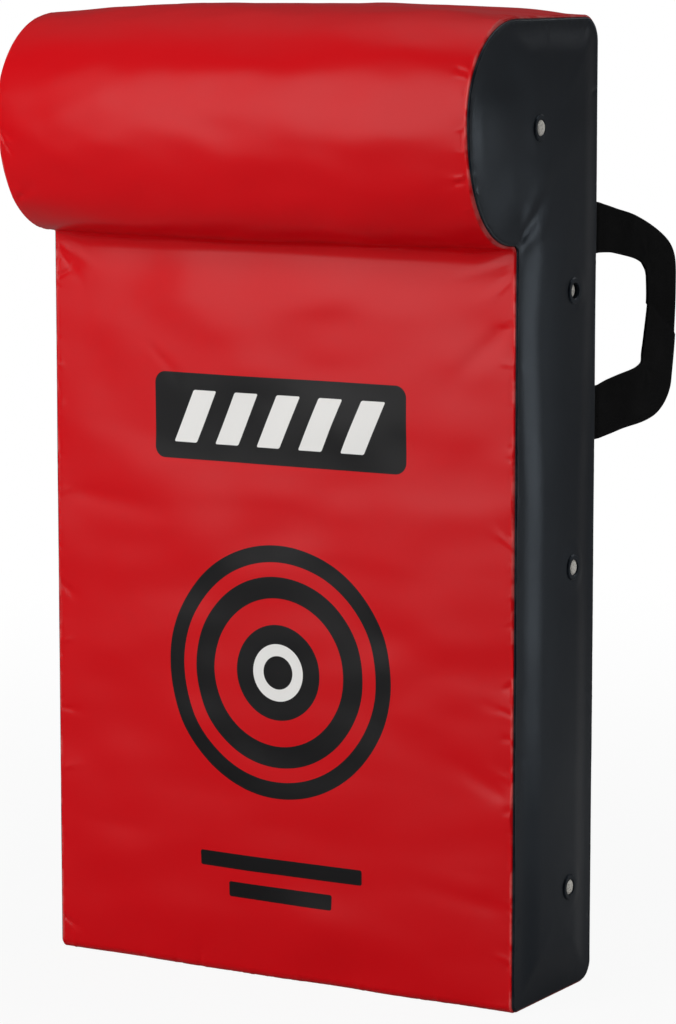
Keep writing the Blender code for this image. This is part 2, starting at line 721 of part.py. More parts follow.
stop_middle = ZIP_HIGH + SLIDER_ABOVE_CHAIN + CLEARANCE + STOP_HEIGHT / 2
web = [(web_edge - STOP_WALL, stop_front[1]), (web_edge - STOP_WALL, stop_rear[0])]
top_stop = plate("zip_top_stop_right", one_side + web, STOP_HEIGHT,
                 Matrix.Translation((0, 0, stop_middle)), "zip_plastic")
mirrored(top_stop, "zip_top_stop_left")


# Slider: two plates joined by a wedge between the tapes, with a bridge for the pull

chain_front = CHAIN_Y + CHAIN_THICKNESS / 2
chain_rear = CHAIN_Y - CHAIN_THICKNESS / 2
slider_low = ZIP_HIGH + SLIDER_ABOVE_CHAIN - SLIDER_LENGTH
slider_high = ZIP_HIGH + SLIDER_ABOVE_CHAIN
top_plate = (chain_front + CLEARANCE, chain_front + CLEARANCE + SLIDER_PLATE)
bottom_plate = (chain_rear - CLEARANCE - SLIDER_PLATE, chain_rear - CLEARANCE)
half_slider = SLIDER_WIDTH / 2
flange_front = TAPE_OUTER + CLEARANCE
flange_rear = tape_back - CLEARANCE
pull_y = top_plate[1] + BAR_CLEARANCE
pull_z = (slider_low + slider_high) / 2
bridge_reach = BAR_CLEARANCE + BRIDGE_WALL
bridge_roof = pull_y + BAR_CLEARANCE
taper = SLIDER_WIDTH / 6


def slider_outline(half_width):
    """Plate outline (-x, z), wide at the throat and narrower at the tail."""
    narrow = half_width - taper
    shoulder = slider_low + SLIDER_LENGTH / 2
    return [(-narrow, slider_low), (-half_width, shoulder), (-half_width, slider_high - taper),
            (-half_width + taper, slider_high), (half_width - taper, slider_high),
            (half_width, slider_high - taper), (half_width, shoulder), (narrow, slider_low)]


slider = plate("zip_slider", slider_outline(half_slider), SLIDER_PLATE,
               back_plane(sum(top_plate) / 2))
slider = boolean(slider, plate("bottom", slider_outline(half_slider), SLIDER_PLATE,
                               back_plane(sum(bottom_plate) / 2)), "UNION")
wedge_low = slider_high - WEDGE_LENGTH
wedge = [(0, wedge_low), (-WEDGE_WIDTH / 2, wedge_low + WEDGE_LENGTH / 2),
         (0, slider_high - taper / 2), (WEDGE_WIDTH / 2, wedge_low + WEDGE_LENGTH / 2)]
wedge_span = top_plate[0] - bottom_plate[1] + SLIDER_PLATE
slider = boolean(slider, plate("wedge", wedge, wedge_span, back_plane(CHAIN_Y)), "UNION")
flange_low = slider_low + SLIDER_LENGTH / 2 + SLIDER_LEDGE
flange_high = slider_high - taper - SLIDER_LEDGE
flange_edge = half_slider - SLIDER_LEDGE
for sign in (-1, 1):
    edges = sorted((sign * flange_edge, sign * (flange_edge - SLIDER_FLANGE)))
    for low_y, high_y in ((flange_front, top_plate[1] - CLEARANCE),
                          (bottom_plate[0] + CLEARANCE, flange_rear)):
        slider = boolean(slider, box("flange", (edges[0], low_y, flange_low),
                                     (edges[1], high_y, flange_high)), "UNION")
post_low = top_plate[1] - CLEARANCE
bridge_top = bridge_roof + BRIDGE_WALL
arch = [(post_low, bridge_reach), (bridge_top - BRIDGE_CHAMFER, bridge_reach),
        (bridge_top, bridge_reach - BRIDGE_CHAMFER)]
hollow = [(bridge_roof, BAR_CLEARANCE), (post_low, BAR_CLEARANCE)]
bridge = (arch + [(y, -z) for y, z in reversed(arch)]
          + [(y, -z) for y, z in reversed(hollow)] + hollow)
slider = boolean(slider, plate("bridge", bridge, BRIDGE_WIDTH,
                               Matrix.Translation((0, 0, pull_z)) @ side_plane(0)), "UNION")
slider.data.materials.clear()
slider.data.materials.append(finish("black_metal"))

# Pull tab, hanging from its bar under the bridge
pull_top = pull_z + PULL_BAR / 2
pull_low = pull_top - PULL_LENGTH
window_top = pull_z - PULL_BAR / 2
half_pull = PULL_WIDTH / 2
corner = half_pull / 2
tab_outline = [(-half_pull, pull_top), (-half_pull, pull_low + corner),
               (-half_pull + corner, pull_low), (half_pull - corner, pull_low),
               (half_pull, pull_low + corner), (half_pull, pull_top)]
half_window = PULL_WINDOW_WIDTH / 2
pull = plate("zip_pull", tab_outline, PULL_THICKNESS, back_plane(pull_y))
tab_window = box("tab_window",
                 (-half_window, pull_y - PULL_THICKNESS, window_top - PULL_WINDOW_LENGTH),
                 (half_window, pull_y + PULL_THICKNESS, window_top))
pull = boolean(pull, as_cutter(tab_window), "DIFFERENCE")
pull.data.materials.clear()
pull.data.materials.append(finish("black_metal"))
pull_pivot = bpy.data.objects.new("zip_pull_hinge", None)
shield.objects.link(pull_pivot)
pull_pivot.location = (0, pull_y, pull_z)
pull.data.transform(Matrix.Translation((0, -pull_y, -pull_z)))
pull.parent = pull_pivot

print("hand loop pivot", round(WEBBING_X, 5), round(PIVOT_Y, 5))
print("zip pull pivot", round(pull_y, 5), round(pull_z, 5))
print("slider travel", round(slider_low - ZIP_LOW, 5))
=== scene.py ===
"""Looks of a roll-top tackle shield: a sewn PVC cover over foam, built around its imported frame."""
import math

import bmesh
import bpy
import numpy as np
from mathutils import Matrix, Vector, noise
from mathutils.geometry import delaunay_2d_cdt
from mathutils.kdtree import KDTree


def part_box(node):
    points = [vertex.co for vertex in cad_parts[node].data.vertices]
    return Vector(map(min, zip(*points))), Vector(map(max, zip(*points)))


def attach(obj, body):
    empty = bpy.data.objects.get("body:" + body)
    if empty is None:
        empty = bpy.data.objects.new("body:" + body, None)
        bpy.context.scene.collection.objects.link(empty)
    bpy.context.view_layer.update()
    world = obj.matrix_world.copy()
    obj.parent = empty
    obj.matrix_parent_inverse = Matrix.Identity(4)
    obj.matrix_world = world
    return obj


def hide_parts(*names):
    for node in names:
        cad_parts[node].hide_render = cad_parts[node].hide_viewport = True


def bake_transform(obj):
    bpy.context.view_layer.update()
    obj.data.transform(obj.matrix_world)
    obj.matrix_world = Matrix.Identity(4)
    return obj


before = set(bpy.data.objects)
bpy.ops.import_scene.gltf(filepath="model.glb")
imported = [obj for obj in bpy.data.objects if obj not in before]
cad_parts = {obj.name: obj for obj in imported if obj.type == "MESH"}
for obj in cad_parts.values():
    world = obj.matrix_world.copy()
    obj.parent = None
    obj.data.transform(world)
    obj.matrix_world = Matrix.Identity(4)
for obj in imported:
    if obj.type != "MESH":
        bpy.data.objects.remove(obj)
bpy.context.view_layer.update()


# Camera
# A long lens, nearly level with the top of the shield. It stands in front and to the right, and
# looks a little down, so that the striking face, the right side and one hand loop show.

CAMERA_PLACE = (1.6591, -2.7928, 0.8442)
CAMERA_TURN = 30.47
CAMERA_DIP = 8.02
CAMERA_LENS = 137.9
SENSOR_LONG_SIDE = 36.0


def placed(name, data):
    """A new object in the scene, at the origin."""
    made = bpy.data.objects.new(name, data)
    bpy.context.scene.collection.objects.link(made)
    return made


camera_data = bpy.data.cameras.new("camera")
camera_data.sensor_width = SENSOR_LONG_SIDE
camera_data.lens = CAMERA_LENS
camera = placed("camera", camera_data)
camera.location = CAMERA_PLACE
camera.rotation_euler = (math.radians(90 - CAMERA_DIP), 0, math.radians(CAMERA_TURN))
bpy.context.scene.camera = camera
bpy.context.scene.view_settings.view_transform = "Standard"


# Studio floor
# A plain pale seamless floor, matt. It fades to white within about two metres, and keeps the
# shield's soft shadow close to its foot.

FLOOR_RADIUS = 9.0
FLOOR_FADE_START = 0.3
FLOOR_FADE_END = 2.2
FLOOR_GLOW = 0.93
GLOSS_FADE_START = 6.0
GLOSS_FADE_END = 9.0
FLOOR_COLOUR = (0.46, 0.46, 0.46, 1.0)
WHITE = (1.0, 1.0, 1.0, 1.0)


class Field:
    """An output socket of a material's node. Sums and products of fields add the Math nodes."""

    def __init__(self, tree, socket):
        self.tree = tree
        self.socket = socket

    def node(self, kind, settings, sockets, output=0):
        """A new node: its settings are set first, then the values or links of its sockets."""
        made = self.tree.nodes.new("ShaderNode" + kind)
        for name, value in settings.items():
            setattr(made, name, value)
        feed(self.tree, made, sockets)
        return Field(self.tree, made.outputs[output])

    def math(self, operation, first, second=0.0, third=0.0):
        return self.node("Math", {"operation": operation}, {0: first, 1: second, 2: third})

    def __add__(self, other):
        return self.math("ADD", self, other)

    __radd__ = __add__

    def __sub__(self, other):
        return self.math("SUBTRACT", self, other)

    def __rsub__(self, other):
        return self.math("SUBTRACT", other, self)

    def __mul__(self, other):
        return self.math("MULTIPLY", self, other)

    __rmul__ = __mul__

    def __abs__(self):
        return self.math("ABSOLUTE", self)

    def larger(self, other):
        return self.math("MAXIMUM", self, other)

    def rise(self, low, high, start=0.0, stop=1.0):
        """A soft step from start, below low, to stop, above high."""
        return self.node("MapRange", {"interpolation_type": "SMOOTHSTEP"},
                         {"Value": self, "From Min": low, "From Max": high,
                          "To Min": start, "To Max": stop})

    def tint(self, colour, other):
        """One colour where this field is 0, and the other where it is 1."""
        return self.node("Mix", {"data_type": "RGBA"}, {0: self, 6: colour, 7: other}, output=2)

    def noise(self, scale, detail=2.0, roughness=0.5):
        return self.node("TexNoise", {}, {"Vector": self, "Scale": scale, "Detail": detail,
                                          "Roughness": roughness})

    def bump(self, height):
        """A normal from this field, as a share of a height in metres."""
        return self.node("Bump", {}, {"Height": self, "Distance": height})


def feed(tree, node, sockets):
    for name, value in sockets.items():
        if isinstance(value, Field):
            tree.links.new(value.socket, node.inputs[name])
        else:
            node.inputs[name].default_value = value


def ray_kinds(tree):
    """1 for the lens's own rays, and 1 for rays that reach it by a gloss or through glass."""
    path = tree.nodes.new("ShaderNodeLightPath")
    seen, glossy, through = (Field(tree, path.outputs[name]) for name in
                             ("Is Camera Ray", "Is Glossy Ray", "Is Transmission Ray"))
    return seen, glossy.larger(through)


floor_mesh = bpy.data.meshes.new("floor")
disc = bmesh.new()
bmesh.ops.create_circle(disc, cap_ends=True, segments=64, radius=FLOOR_RADIUS)
disc.to_mesh(floor_mesh)
disc.free()
floor = placed("floor", floor_mesh)

floor_finish = bpy.data.materials.new("seamless_floor")
floor_finish.use_nodes = True
tree = floor_finish.node_tree
matt = tree.nodes["Principled BSDF"]
feed(tree, matt, {"Base Color": FLOOR_COLOUR, "Roughness": 0.9})
spot = Field(tree, tree.nodes.new("ShaderNodeTexCoord").outputs["Object"])
away = spot.node("VectorMath", {"operation": "LENGTH"}, {0: spot}, output="Value")
seen, mirrored_ray = ray_kinds(tree)
fade = (seen * away.rise(FLOOR_FADE_START, FLOOR_FADE_END, FLOOR_GLOW, 1.0)
        + mirrored_ray * away.rise(GLOSS_FADE_START, GLOSS_FADE_END))
glow = spot.node("Emission", {}, {"Color": WHITE, "Strength": 1.0})
shown = spot.node("MixShader", {}, {0: fade, 1: Field(tree, matt.outputs[0]), 2: glow})
tree.links.new(shown.socket, tree.nodes["Material Output"].inputs["Surface"])
floor_mesh.materials.append(floor_finish)


# Studio light
# A large softbox ahead on the left, that reaches down nearly to the floor, and one overhead. On the
# right stand a narrow strip, for the light along the side panel, and a small one that lights the
# floor behind. The surround is dim and even.

SURROUND_STRENGTH = 0.15
GLOSS_SURROUND = 0.10
GLOSS_OVERHEAD = 0.60
FRONT_BOX = {"place": (-0.80, -2.36, 1.43), "aim": (0.0, 0.0, 1.43), "size": (1.80, 2.50),
             "power": 66.0}
STRIP = {"place": (1.155, 0.785, 0.38), "aim": (0.22, -0.05, 0.38), "size": (0.16, 0.72),
         "power": 2.1}
LOW_BOX = {"place": (0.55, 0.75, 1.0), "aim": (0.55, 0.75, 0.0), "size": (0.5, 0.5), "power": 1.6}
TOP_BOX = {"place": (0.5, 0.5, 2.8), "aim": (0.3, 0.2, 0.0), "size": (2.4, 2.4), "power": 18.0}


def softbox(name, place, aim, size, power):
    lamp = bpy.data.lights.new(name, "AREA")
    lamp.shape = "RECTANGLE"
    lamp.size, lamp.size_y = size
    lamp.energy = power
    box = placed(name, lamp)
    box.visible_camera = False
    box.location = place
    box.rotation_euler = (Vector(aim) - Vector(place)).to_track_quat("-Z", "Y").to_euler()


softbox("front_softbox", **FRONT_BOX)
softbox("right_strip", **STRIP)
softbox("low_softbox", **LOW_BOX)
softbox("top_softbox", **TOP_BOX)

surround = bpy.data.worlds.new("surround")
bpy.context.scene.world = surround
surround.use_nodes = True
tree = surround.node_tree
seen, mirrored_ray = ray_kinds(tree)
split = tree.nodes.new("ShaderNodeSeparateXYZ")
feed(tree, split, {0: Field(tree, tree.nodes.new("ShaderNodeTexCoord").outputs["Generated"])})
overhead = Field(tree, split.outputs["Z"]).rise(0.5, 1.0, GLOSS_SURROUND, GLOSS_OVERHEAD)
plain = (1 - seen - mirrored_ray) * SURROUND_STRENGTH
feed(tree, tree.nodes["Background"],
     {"Color": WHITE, "Strength": seen + mirrored_ray * overhead + plain})


# Foam
# A slab of pale open-cell foam, with a half-round block bonded to its face for the roll. Both are
# cut a little smaller than the cover, and the slab presses up into the eyelets' bores.

FOAM_MARGIN = 0.0042
FOAM_STEP = 0.012
FOAM_EDGE = 0.006
FOAM_EDGE_SHARES = ((0.0, 1.0), (0.3, 0.3), (1.0, 0.0))
BOND_OVERLAP = 0.0003
PORE_DEPTH = 0.0005
FOAM_PLUG = 0.0064
PLUG_ROUND = 0.0014
PLUG_ROOT = 0.004
PLUG_SIDES = 32
PLUG_SHARES = (1.0, 0.99, 0.95, 0.85, 0.7, 0.5, 0.3, 0.1)
PLUG_DROPS = (-0.0006, 0.0030, 0.0002, 0.0001)
FOAM_PALE = (0.93, 0.91, 0.85, 1.0)
FOAM_SHADE = (0.74, 0.71, 0.64, 1.0)
HALF_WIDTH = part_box("base_panel")[1].x
HALF_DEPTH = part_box("base_panel")[1].y
CREASE_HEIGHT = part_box("front_panel")[1].z
BODY_HEIGHT = 0.800
ROLL_NOSE_HEIGHT = 0.7222
ROLL_REACH = 0.082
ROLL_LOWER_POWER = 2.2
ARC_POINTS = 97
EYELET_SPOTS = [(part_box(f"eyelet_right_{number}")[0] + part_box(f"eyelet_right_{number}")[1]) / 2
                for number in (1, 2, 3, 4)]


def ease(share):
    share = np.clip(share, 0.0, 1.0)
    return share * share * (3 - 2 * share)


def arc(centre, radii, start, stop, power=2.0):
    """Points and outward normals on an arc of an ellipse, squarer with a power over 2."""
    angles = np.radians(np.linspace(start, stop, ARC_POINTS))
    cosine, sine = np.cos(angles), np.sin(angles)
    points = np.stack([centre[0] + radii[0] * np.sign(cosine) * np.abs(cosine) ** (2 / power),
                       centre[1] + radii[1] * np.sign(sine) * np.abs(sine) ** (2 / power)], axis=1)
    normals = np.stack([np.sign(cosine) * np.abs(cosine) ** (2 - 2 / power) / radii[0],
                        np.sign(sine) * np.abs(sine) ** (2 - 2 / power) / radii[1]], axis=1)
    return points, normals / np.linalg.norm(normals, axis=1, keepdims=True)


def line(start, stop, normal):
    return np.array([start, stop], float), np.array([normal, normal], float)


class Profile:
    """A stretch of the cover's side profile, measured along its length, and its outward normals."""

    def __init__(self, *stretches):
        self.points = np.concatenate([points for points, _ in stretches])
        self.normals = np.concatenate([normals for _, normals in stretches])
        steps = np.linalg.norm(np.diff(self.points, axis=0), axis=1)
        self.ways = np.concatenate([[0.0], np.cumsum(steps)])
        self.length = self.ways[-1]

    def at(self, ways):
        """The profile's points (y, z) and normals at some lengths along it."""
        point = [np.interp(ways, self.ways, self.points[:, axis]) for axis in (0, 1)]
        normal = [np.interp(ways, self.ways, self.normals[:, axis]) for axis in (0, 1)]
        size = np.hypot(*normal)
        return point, (normal[0] / size, normal[1] / size)

    def wrap(self, crown, fullness=2.0):
        """How a flat point (across, way) and its height are laid on the padded profile."""
        def lay(flat, height):
            across, ways = flat[:, 0], flat[:, 1]
            (y, z), (normal_y, normal_z) = self.at(ways)
            swell = (crown * ease(ways / CROWN_RUN) * ease((self.length - ways) / CROWN_RUN)
                     * (1 - np.abs(across / HALF_WIDTH) ** fullness))
            rise = swell + height
            return np.stack([across, y + normal_y * rise, z + normal_z * rise], axis=1)
        return lay


def spaced(corners, spacing):
    """A polyline with a point every so often, its corners kept."""
    pieces = []
    for start, stop in zip(corners[:-1], corners[1:]):
        count = max(1, round(float(np.linalg.norm(np.subtract(stop, start))) / spacing))
        pieces.append(np.linspace(start, stop, count, endpoint=False))
    return np.concatenate(pieces + [np.array([corners[-1]], float)])


def inward_normals(outline):
    along = np.roll(outline, -1, axis=0) - np.roll(outline, 1, axis=0)
    along /= np.linalg.norm(along, axis=1, keepdims=True)
    return np.stack([-along[:, 1], along[:, 0]], axis=1)


def finish(name, surface):
    """A material whose Principled shader is fed by surface(place, seam)."""
    made = bpy.data.materials.new(name)
    made.use_nodes = True
    tree = made.node_tree
    place = Field(tree, tree.nodes.new("ShaderNodeTexCoord").outputs["Object"])
    seam = place.node("Attribute", {"attribute_name": "seam"}, {}, output="Fac")
    feed(tree, tree.nodes["Principled BSDF"], surface(place, seam))
    return made


def dress(piece, material, body="root"):
    piece.data.materials.clear()
    piece.data.materials.append(material)
    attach(piece, body)


def open_cells(place, seam):
    cells = place.node("TexVoronoi", {"feature": "F1"}, {"Vector": place, "Scale": 650.0})
    pores = cells.rise(0.1, 0.55)
    # The pores' hollows are painted darker, a painted shade; the noise adds tone that varies at random.
    return {"Base Color": (pores * 0.5 + place.noise(40.0) * 0.4).tint(FOAM_SHADE, FOAM_PALE),
            "Roughness": 0.95, "Normal": pores.bump(PORE_DEPTH)}


def bridge(form, first, second):
    """A band of faces between two rings of corners."""
    for index in range(len(first)):
        after = (index + 1) % len(first)
        form.faces.new((first[index], first[after], second[after], second[index]))


def modelled(name, form):
    """A smooth-shaded piece from a finished form."""
    bmesh.ops.recalc_face_normals(form, faces=form.faces)
    mesh = bpy.data.meshes.new(name)
    form.to_mesh(mesh)
    form.free()
    mesh.shade_smooth()
    return placed(name, mesh)


def swell_into_bore(form, side, spot, drop, half_width):
    """A flat-topped swelling of the foam that fills an eyelet's bore."""
    before = None
    for share in PLUG_SHARES:
        top = half_width - PLUG_ROOT if share == 1.0 else spot.x - drop - PLUG_ROUND * share ** 6
        ring = [form.verts.new((side * top, spot.y + FOAM_PLUG * share * math.cos(turn),
                                spot.z + FOAM_PLUG * share * math.sin(turn)))
                for turn in np.linspace(0, 2 * math.pi, PLUG_SIDES, endpoint=False)]
        if before:
            bridge(form, before, ring)
        else:
            form.faces.new(ring)
        before = ring
    form.faces.new(before)


def block(name, outline, half_width, plugs=()):
    """A foam block of one outline (y, z), run anticlockwise, with its long edges eased."""
    rings = [(half_width - FOAM_EDGE * out, FOAM_EDGE * inset) for out, inset in FOAM_EDGE_SHARES]
    rings = [(-x, inset) for x, inset in rings] + [(x, inset) for x, inset in rings[::-1]]
    inward = inward_normals(outline)
    form = bmesh.new()
    loops = []
    for x, inset in rings:
        points = outline + inward * inset
        loops.append([form.verts.new((x, *point)) for point in points])
    for first, second in zip(loops[:-1], loops[1:]):
        bridge(form, first, second)
    form.faces.new(loops[0][::-1])
    form.faces.new(loops[-1])
    for spot, drop in plugs:
        for side in (-1, 1):
            swell_into_bore(form, side, spot, drop, half_width)
    made = modelled(name, form)
    return made


foam_finish = finish("pale_foam", open_cells)
EYELET_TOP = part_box("eyelet_right_1")[1].x
slab_low, slab_high = -HALF_DEPTH + FOAM_MARGIN, HALF_DEPTH - FOAM_MARGIN
slab_outline = spaced([(slab_low, FOAM_MARGIN), (slab_high, FOAM_MARGIN),
                       (slab_high, BODY_HEIGHT - FOAM_MARGIN), (slab_low, BODY_HEIGHT - FOAM_MARGIN),
                       (slab_low, FOAM_MARGIN)], FOAM_STEP)[:-1]
plugs = [(Vector((EYELET_TOP, spot.y, spot.z)), drop)
         for spot, drop in zip(EYELET_SPOTS, PLUG_DROPS)]
foam_slab = block("foam_slab_block", slab_outline, HALF_WIDTH - FOAM_MARGIN, plugs)
dress(foam_slab, foam_finish)
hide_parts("foam_slab")

nose = Profile(
    arc((-HALF_DEPTH, ROLL_NOSE_HEIGHT), (ROLL_REACH, BODY_HEIGHT - ROLL_NOSE_HEIGHT), 90, 180),
    arc((-HALF_DEPTH, ROLL_NOSE_HEIGHT), (ROLL_REACH, ROLL_NOSE_HEIGHT - CREASE_HEIGHT),
        180, 270, ROLL_LOWER_POWER))
nose_ways = np.arange(FOAM_STEP, nose.length - FOAM_STEP, FOAM_STEP / 2)
(nose_y, nose_z), (nose_ny, nose_nz) = nose.at(nose_ways)
nose_outline = np.concatenate([
    np.stack([nose_y - nose_ny * FOAM_MARGIN, nose_z - nose_nz * FOAM_MARGIN], axis=1),
    [(slab_low - BOND_OVERLAP, CREASE_HEIGHT + FOAM_STEP),
     (slab_low - BOND_OVERLAP, BODY_HEIGHT - FOAM_STEP)]])
foam_nose = block("foam_roll_block", nose_outline, HALF_WIDTH - FOAM_MARGIN)
dress(foam_nose, foam_finish)
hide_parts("foam_nose")


# Front panel
# PVC-coated cloth over the striking face, from the crease under the roll down round the lower
# edge. Cut flat, sewn inside out and turned, so its edges roll into the seams. Printed in ink.

BASE_FRONT_RADIUS = 0.008
FRONT_CROWN = 0.005
CROWN_RUN = 0.060
CREASE_SOFT = 0.015
CREASE_TIGHT = 0.004
CREASE_ENDS = 0.040
SEAM_ROLL = 0.0022
SEAM_TURN = math.radians(75)
SEAM_GAP = 0.0001
SEAM_INSET = SEAM_ROLL * (1 - math.cos(SEAM_TURN)) + SEAM_GAP
SEAM_ALLOWANCE = 0.004
SEAM_STEP = 0.0019
SEAM_CALM = 0.0025
CREASE_CALM = 0.010
MARK_STEP = 0.0004
STITCH_RING_STEP = 0.0006
FINE_MARGIN = 0.0028
HOLE_RING = 0.0022
HOLE_MARGIN = 0.0035
WELD_DISTANCE = 1e-7
STITCH_LINE = 0.0040
STITCH_DEPTH = 0.00016
STITCH_WIDTH = 0.0009
STITCH_WAVE = 0.018
CLOTH_THICKNESS = 0.0009
CLOTH_SPACING = 0.0038
SEAM_SPACING = 0.0016
SEAM_BAND = 0.014
RED = (0.56, 0.0008, 0.0042, 1.0)
# The next colour is the pale pink of the seams' edges: rubbed wear, and a painted highlight where the
# rolled edge catches the light.
RED_WORN_AND_EDGE_HIGHLIGHT = (0.66, 0.10, 0.095, 1.0)
RED_SHINE = 0.15
INK_BLACK = (0.004, 0.004, 0.0045, 1.0)
INK_WHITE = (0.78, 0.78, 0.76, 1.0)
INK_EDGE = 0.0002
RUB_AND_HIGHLIGHT_REACH = (0.0009, 0.0028)
GRAIN_DEPTH = 0.00006
TARGET = (0.003, 0.262)
TARGET_RINGS = ((0.092, 0.106), (0.062, 0.080), (0.0, 0.040))
TARGET_EYE = (0.014, 0.024)
PLATE = {"middle": (0.003, 0.470), "half_width": 0.120, "half_height": 0.036, "corner": 0.010}
PLAIN_BARS = (
    {"middle": (0.004, 0.098), "half_width": 0.078, "half_height": 0.0065, "corner": 0.002},
    {"middle": (0.004, 0.074), "half_width": 0.050, "half_height": 0.0065, "corner": 0.002},
)
SLANTED_BAR = {"half_width": 0.011, "half_height": 0.022, "corner": 0.0015, "lean": -0.45}
SLANTED_SPACING = 0.040


def seam_distance(points, seams):
    """How far each flat point lies from the nearest of some seams."""
    marks = np.concatenate([spaced(seam, MARK_STEP) for seam in seams])
    tree = KDTree(len(marks))
    for index, mark in enumerate(marks):
        tree.insert((mark[0], mark[1], 0.0), index)
    tree.balance()
    return np.array([tree.find((across, way, 0.0))[2] for across, way in points])


def inside(points, outline):
    """Which points lie in a closed outline."""
    within = np.zeros(len(points), bool)
    for (ax, ay), (bx, by) in zip(outline, np.roll(outline, -1, axis=0)):
        crosses = (ay > points[:, 1]) != (by > points[:, 1])
        at = ax + (points[:, 1] - ay) * (bx - ax) / np.where(by == ay, 1.0, by - ay)
        within ^= crosses & (points[:, 0] < at)
    return within


def staggered(outline, spacing):
    """Evenly spaced points over an outline's whole box, in staggered rows."""
    low, high = outline.min(0), outline.max(0)
    rows = np.arange(low[1], high[1], spacing * math.sqrt(0.75))
    columns = np.arange(low[0], high[0], spacing)
    return np.array([(x + spacing / 2 * (index % 2), y)
                     for index, y in enumerate(rows) for x in columns])


def cut_cloth(name, outline, lay, relief, seams=None, holes=()):
    """A cut piece of cover cloth: a closed outline, run anticlockwise, laid with its relief.

    Along its seams the edge rolls down, and a seam allowance turns in behind it.
    """
    edge = [np.concatenate([outline, outline[:1]])]
    seams = edge if seams is None else seams
    inward = inward_normals(outline)
    turns = np.sin(np.radians([60, 45, 30, 15, 0]))
    depths = SEAM_ROLL * (math.sin(SEAM_TURN) - turns)
    rings = []
    for depth in (*depths, *(STITCH_LINE + np.arange(-3, 4) * STITCH_RING_STEP)):
        ring = outline + inward * depth
        rings.append(ring[seam_distance(ring, edge) > depth * 0.9])
    fine = staggered(outline, SEAM_SPACING)
    away = seam_distance(fine, edge)
    fine = fine[(away > STITCH_LINE + FINE_MARGIN) & (away < SEAM_BAND)]
    broad = staggered(outline, CLOTH_SPACING)
    broad = broad[seam_distance(broad, edge) > SEAM_BAND + SEAM_SPACING]
    bores = []
    for centre, radius in holes:
        broad = broad[np.linalg.norm(broad - centre, axis=1) > radius + HOLE_MARGIN]
        angles = np.radians(np.arange(0, 360, 15))
        circle = np.stack([np.cos(angles), np.sin(angles)], axis=1)
        bores += [centre + circle * radius, centre + circle * (radius + HOLE_RING)]
    flat = np.concatenate([outline, *rings, *bores, fine, broad])
    verts, _, faces, _, _, _ = delaunay_2d_cdt(
        [Vector(point) for point in flat], [], [list(range(len(outline)))], 1, WELD_DISTANCE)
    flat = np.array(verts)[:, :2]
    faces = np.array(faces)
    for centre, radius in holes:
        middles = flat[faces].mean(1)
        faces = faces[np.linalg.norm(middles - centre, axis=1) > radius]
    used, faces = np.unique(faces, return_inverse=True)
    flat, faces = flat[used], faces.reshape(-1, 3)
    distance = seam_distance(flat, seams)
    turn = np.arcsin(np.clip(math.sin(SEAM_TURN) - distance / SEAM_ROLL, 0, 1))
    height = relief(flat, distance) - SEAM_ROLL * (1 - np.cos(turn))
    corners = lay(flat, height)
    count = len(outline)
    rim = lay(flat[:count] + inward * SEAM_ALLOWANCE, height[:count] - SEAM_ALLOWANCE)
    first = len(corners)
    around = [(index, (index + 1) % count) for index in range(count)]
    strip = [(after, now, first + now, first + after) for now, after in around]
    mesh = bpy.data.meshes.new(name)
    mesh.from_pydata(np.concatenate([corners, rim]).tolist(), [], faces.tolist() + strip)
    seam = mesh.attributes.new("seam", "FLOAT", "POINT")
    seam.data.foreach_set("value", np.concatenate([distance, np.zeros(count)]).astype(np.float32))
    mesh.shade_smooth()
    piece = placed(name, mesh)
    thickness = piece.modifiers.new("cloth", "SOLIDIFY")
    thickness.thickness = CLOTH_THICKNESS
    thickness.offset = -1
    return piece


GATHER = 0.030
FOUNDATION = 0.005
UNEVEN_START = 0.00015
PROBE_RISE = 0.001
HELD_EDGE = 0.0045
SETTLE_SPACING = 0.0042
SETTLE_FRAMES = 20
SETTLE_CAP = 0.0026
SETTLE_CLOTH = {"quality": 5, "mass": 0.15, "tension_stiffness": 15, "compression_stiffness": 15,
                "shear_stiffness": 5, "bending_stiffness": 0.3, "vertex_group_mass": "held",
                "pin_stiffness": 1.0, "vertex_group_shrink": "gathered", "shrink_min": 0.0,
                "shrink_max": -0.05, "use_pressure": True, "uniform_pressure_force": 0.05}


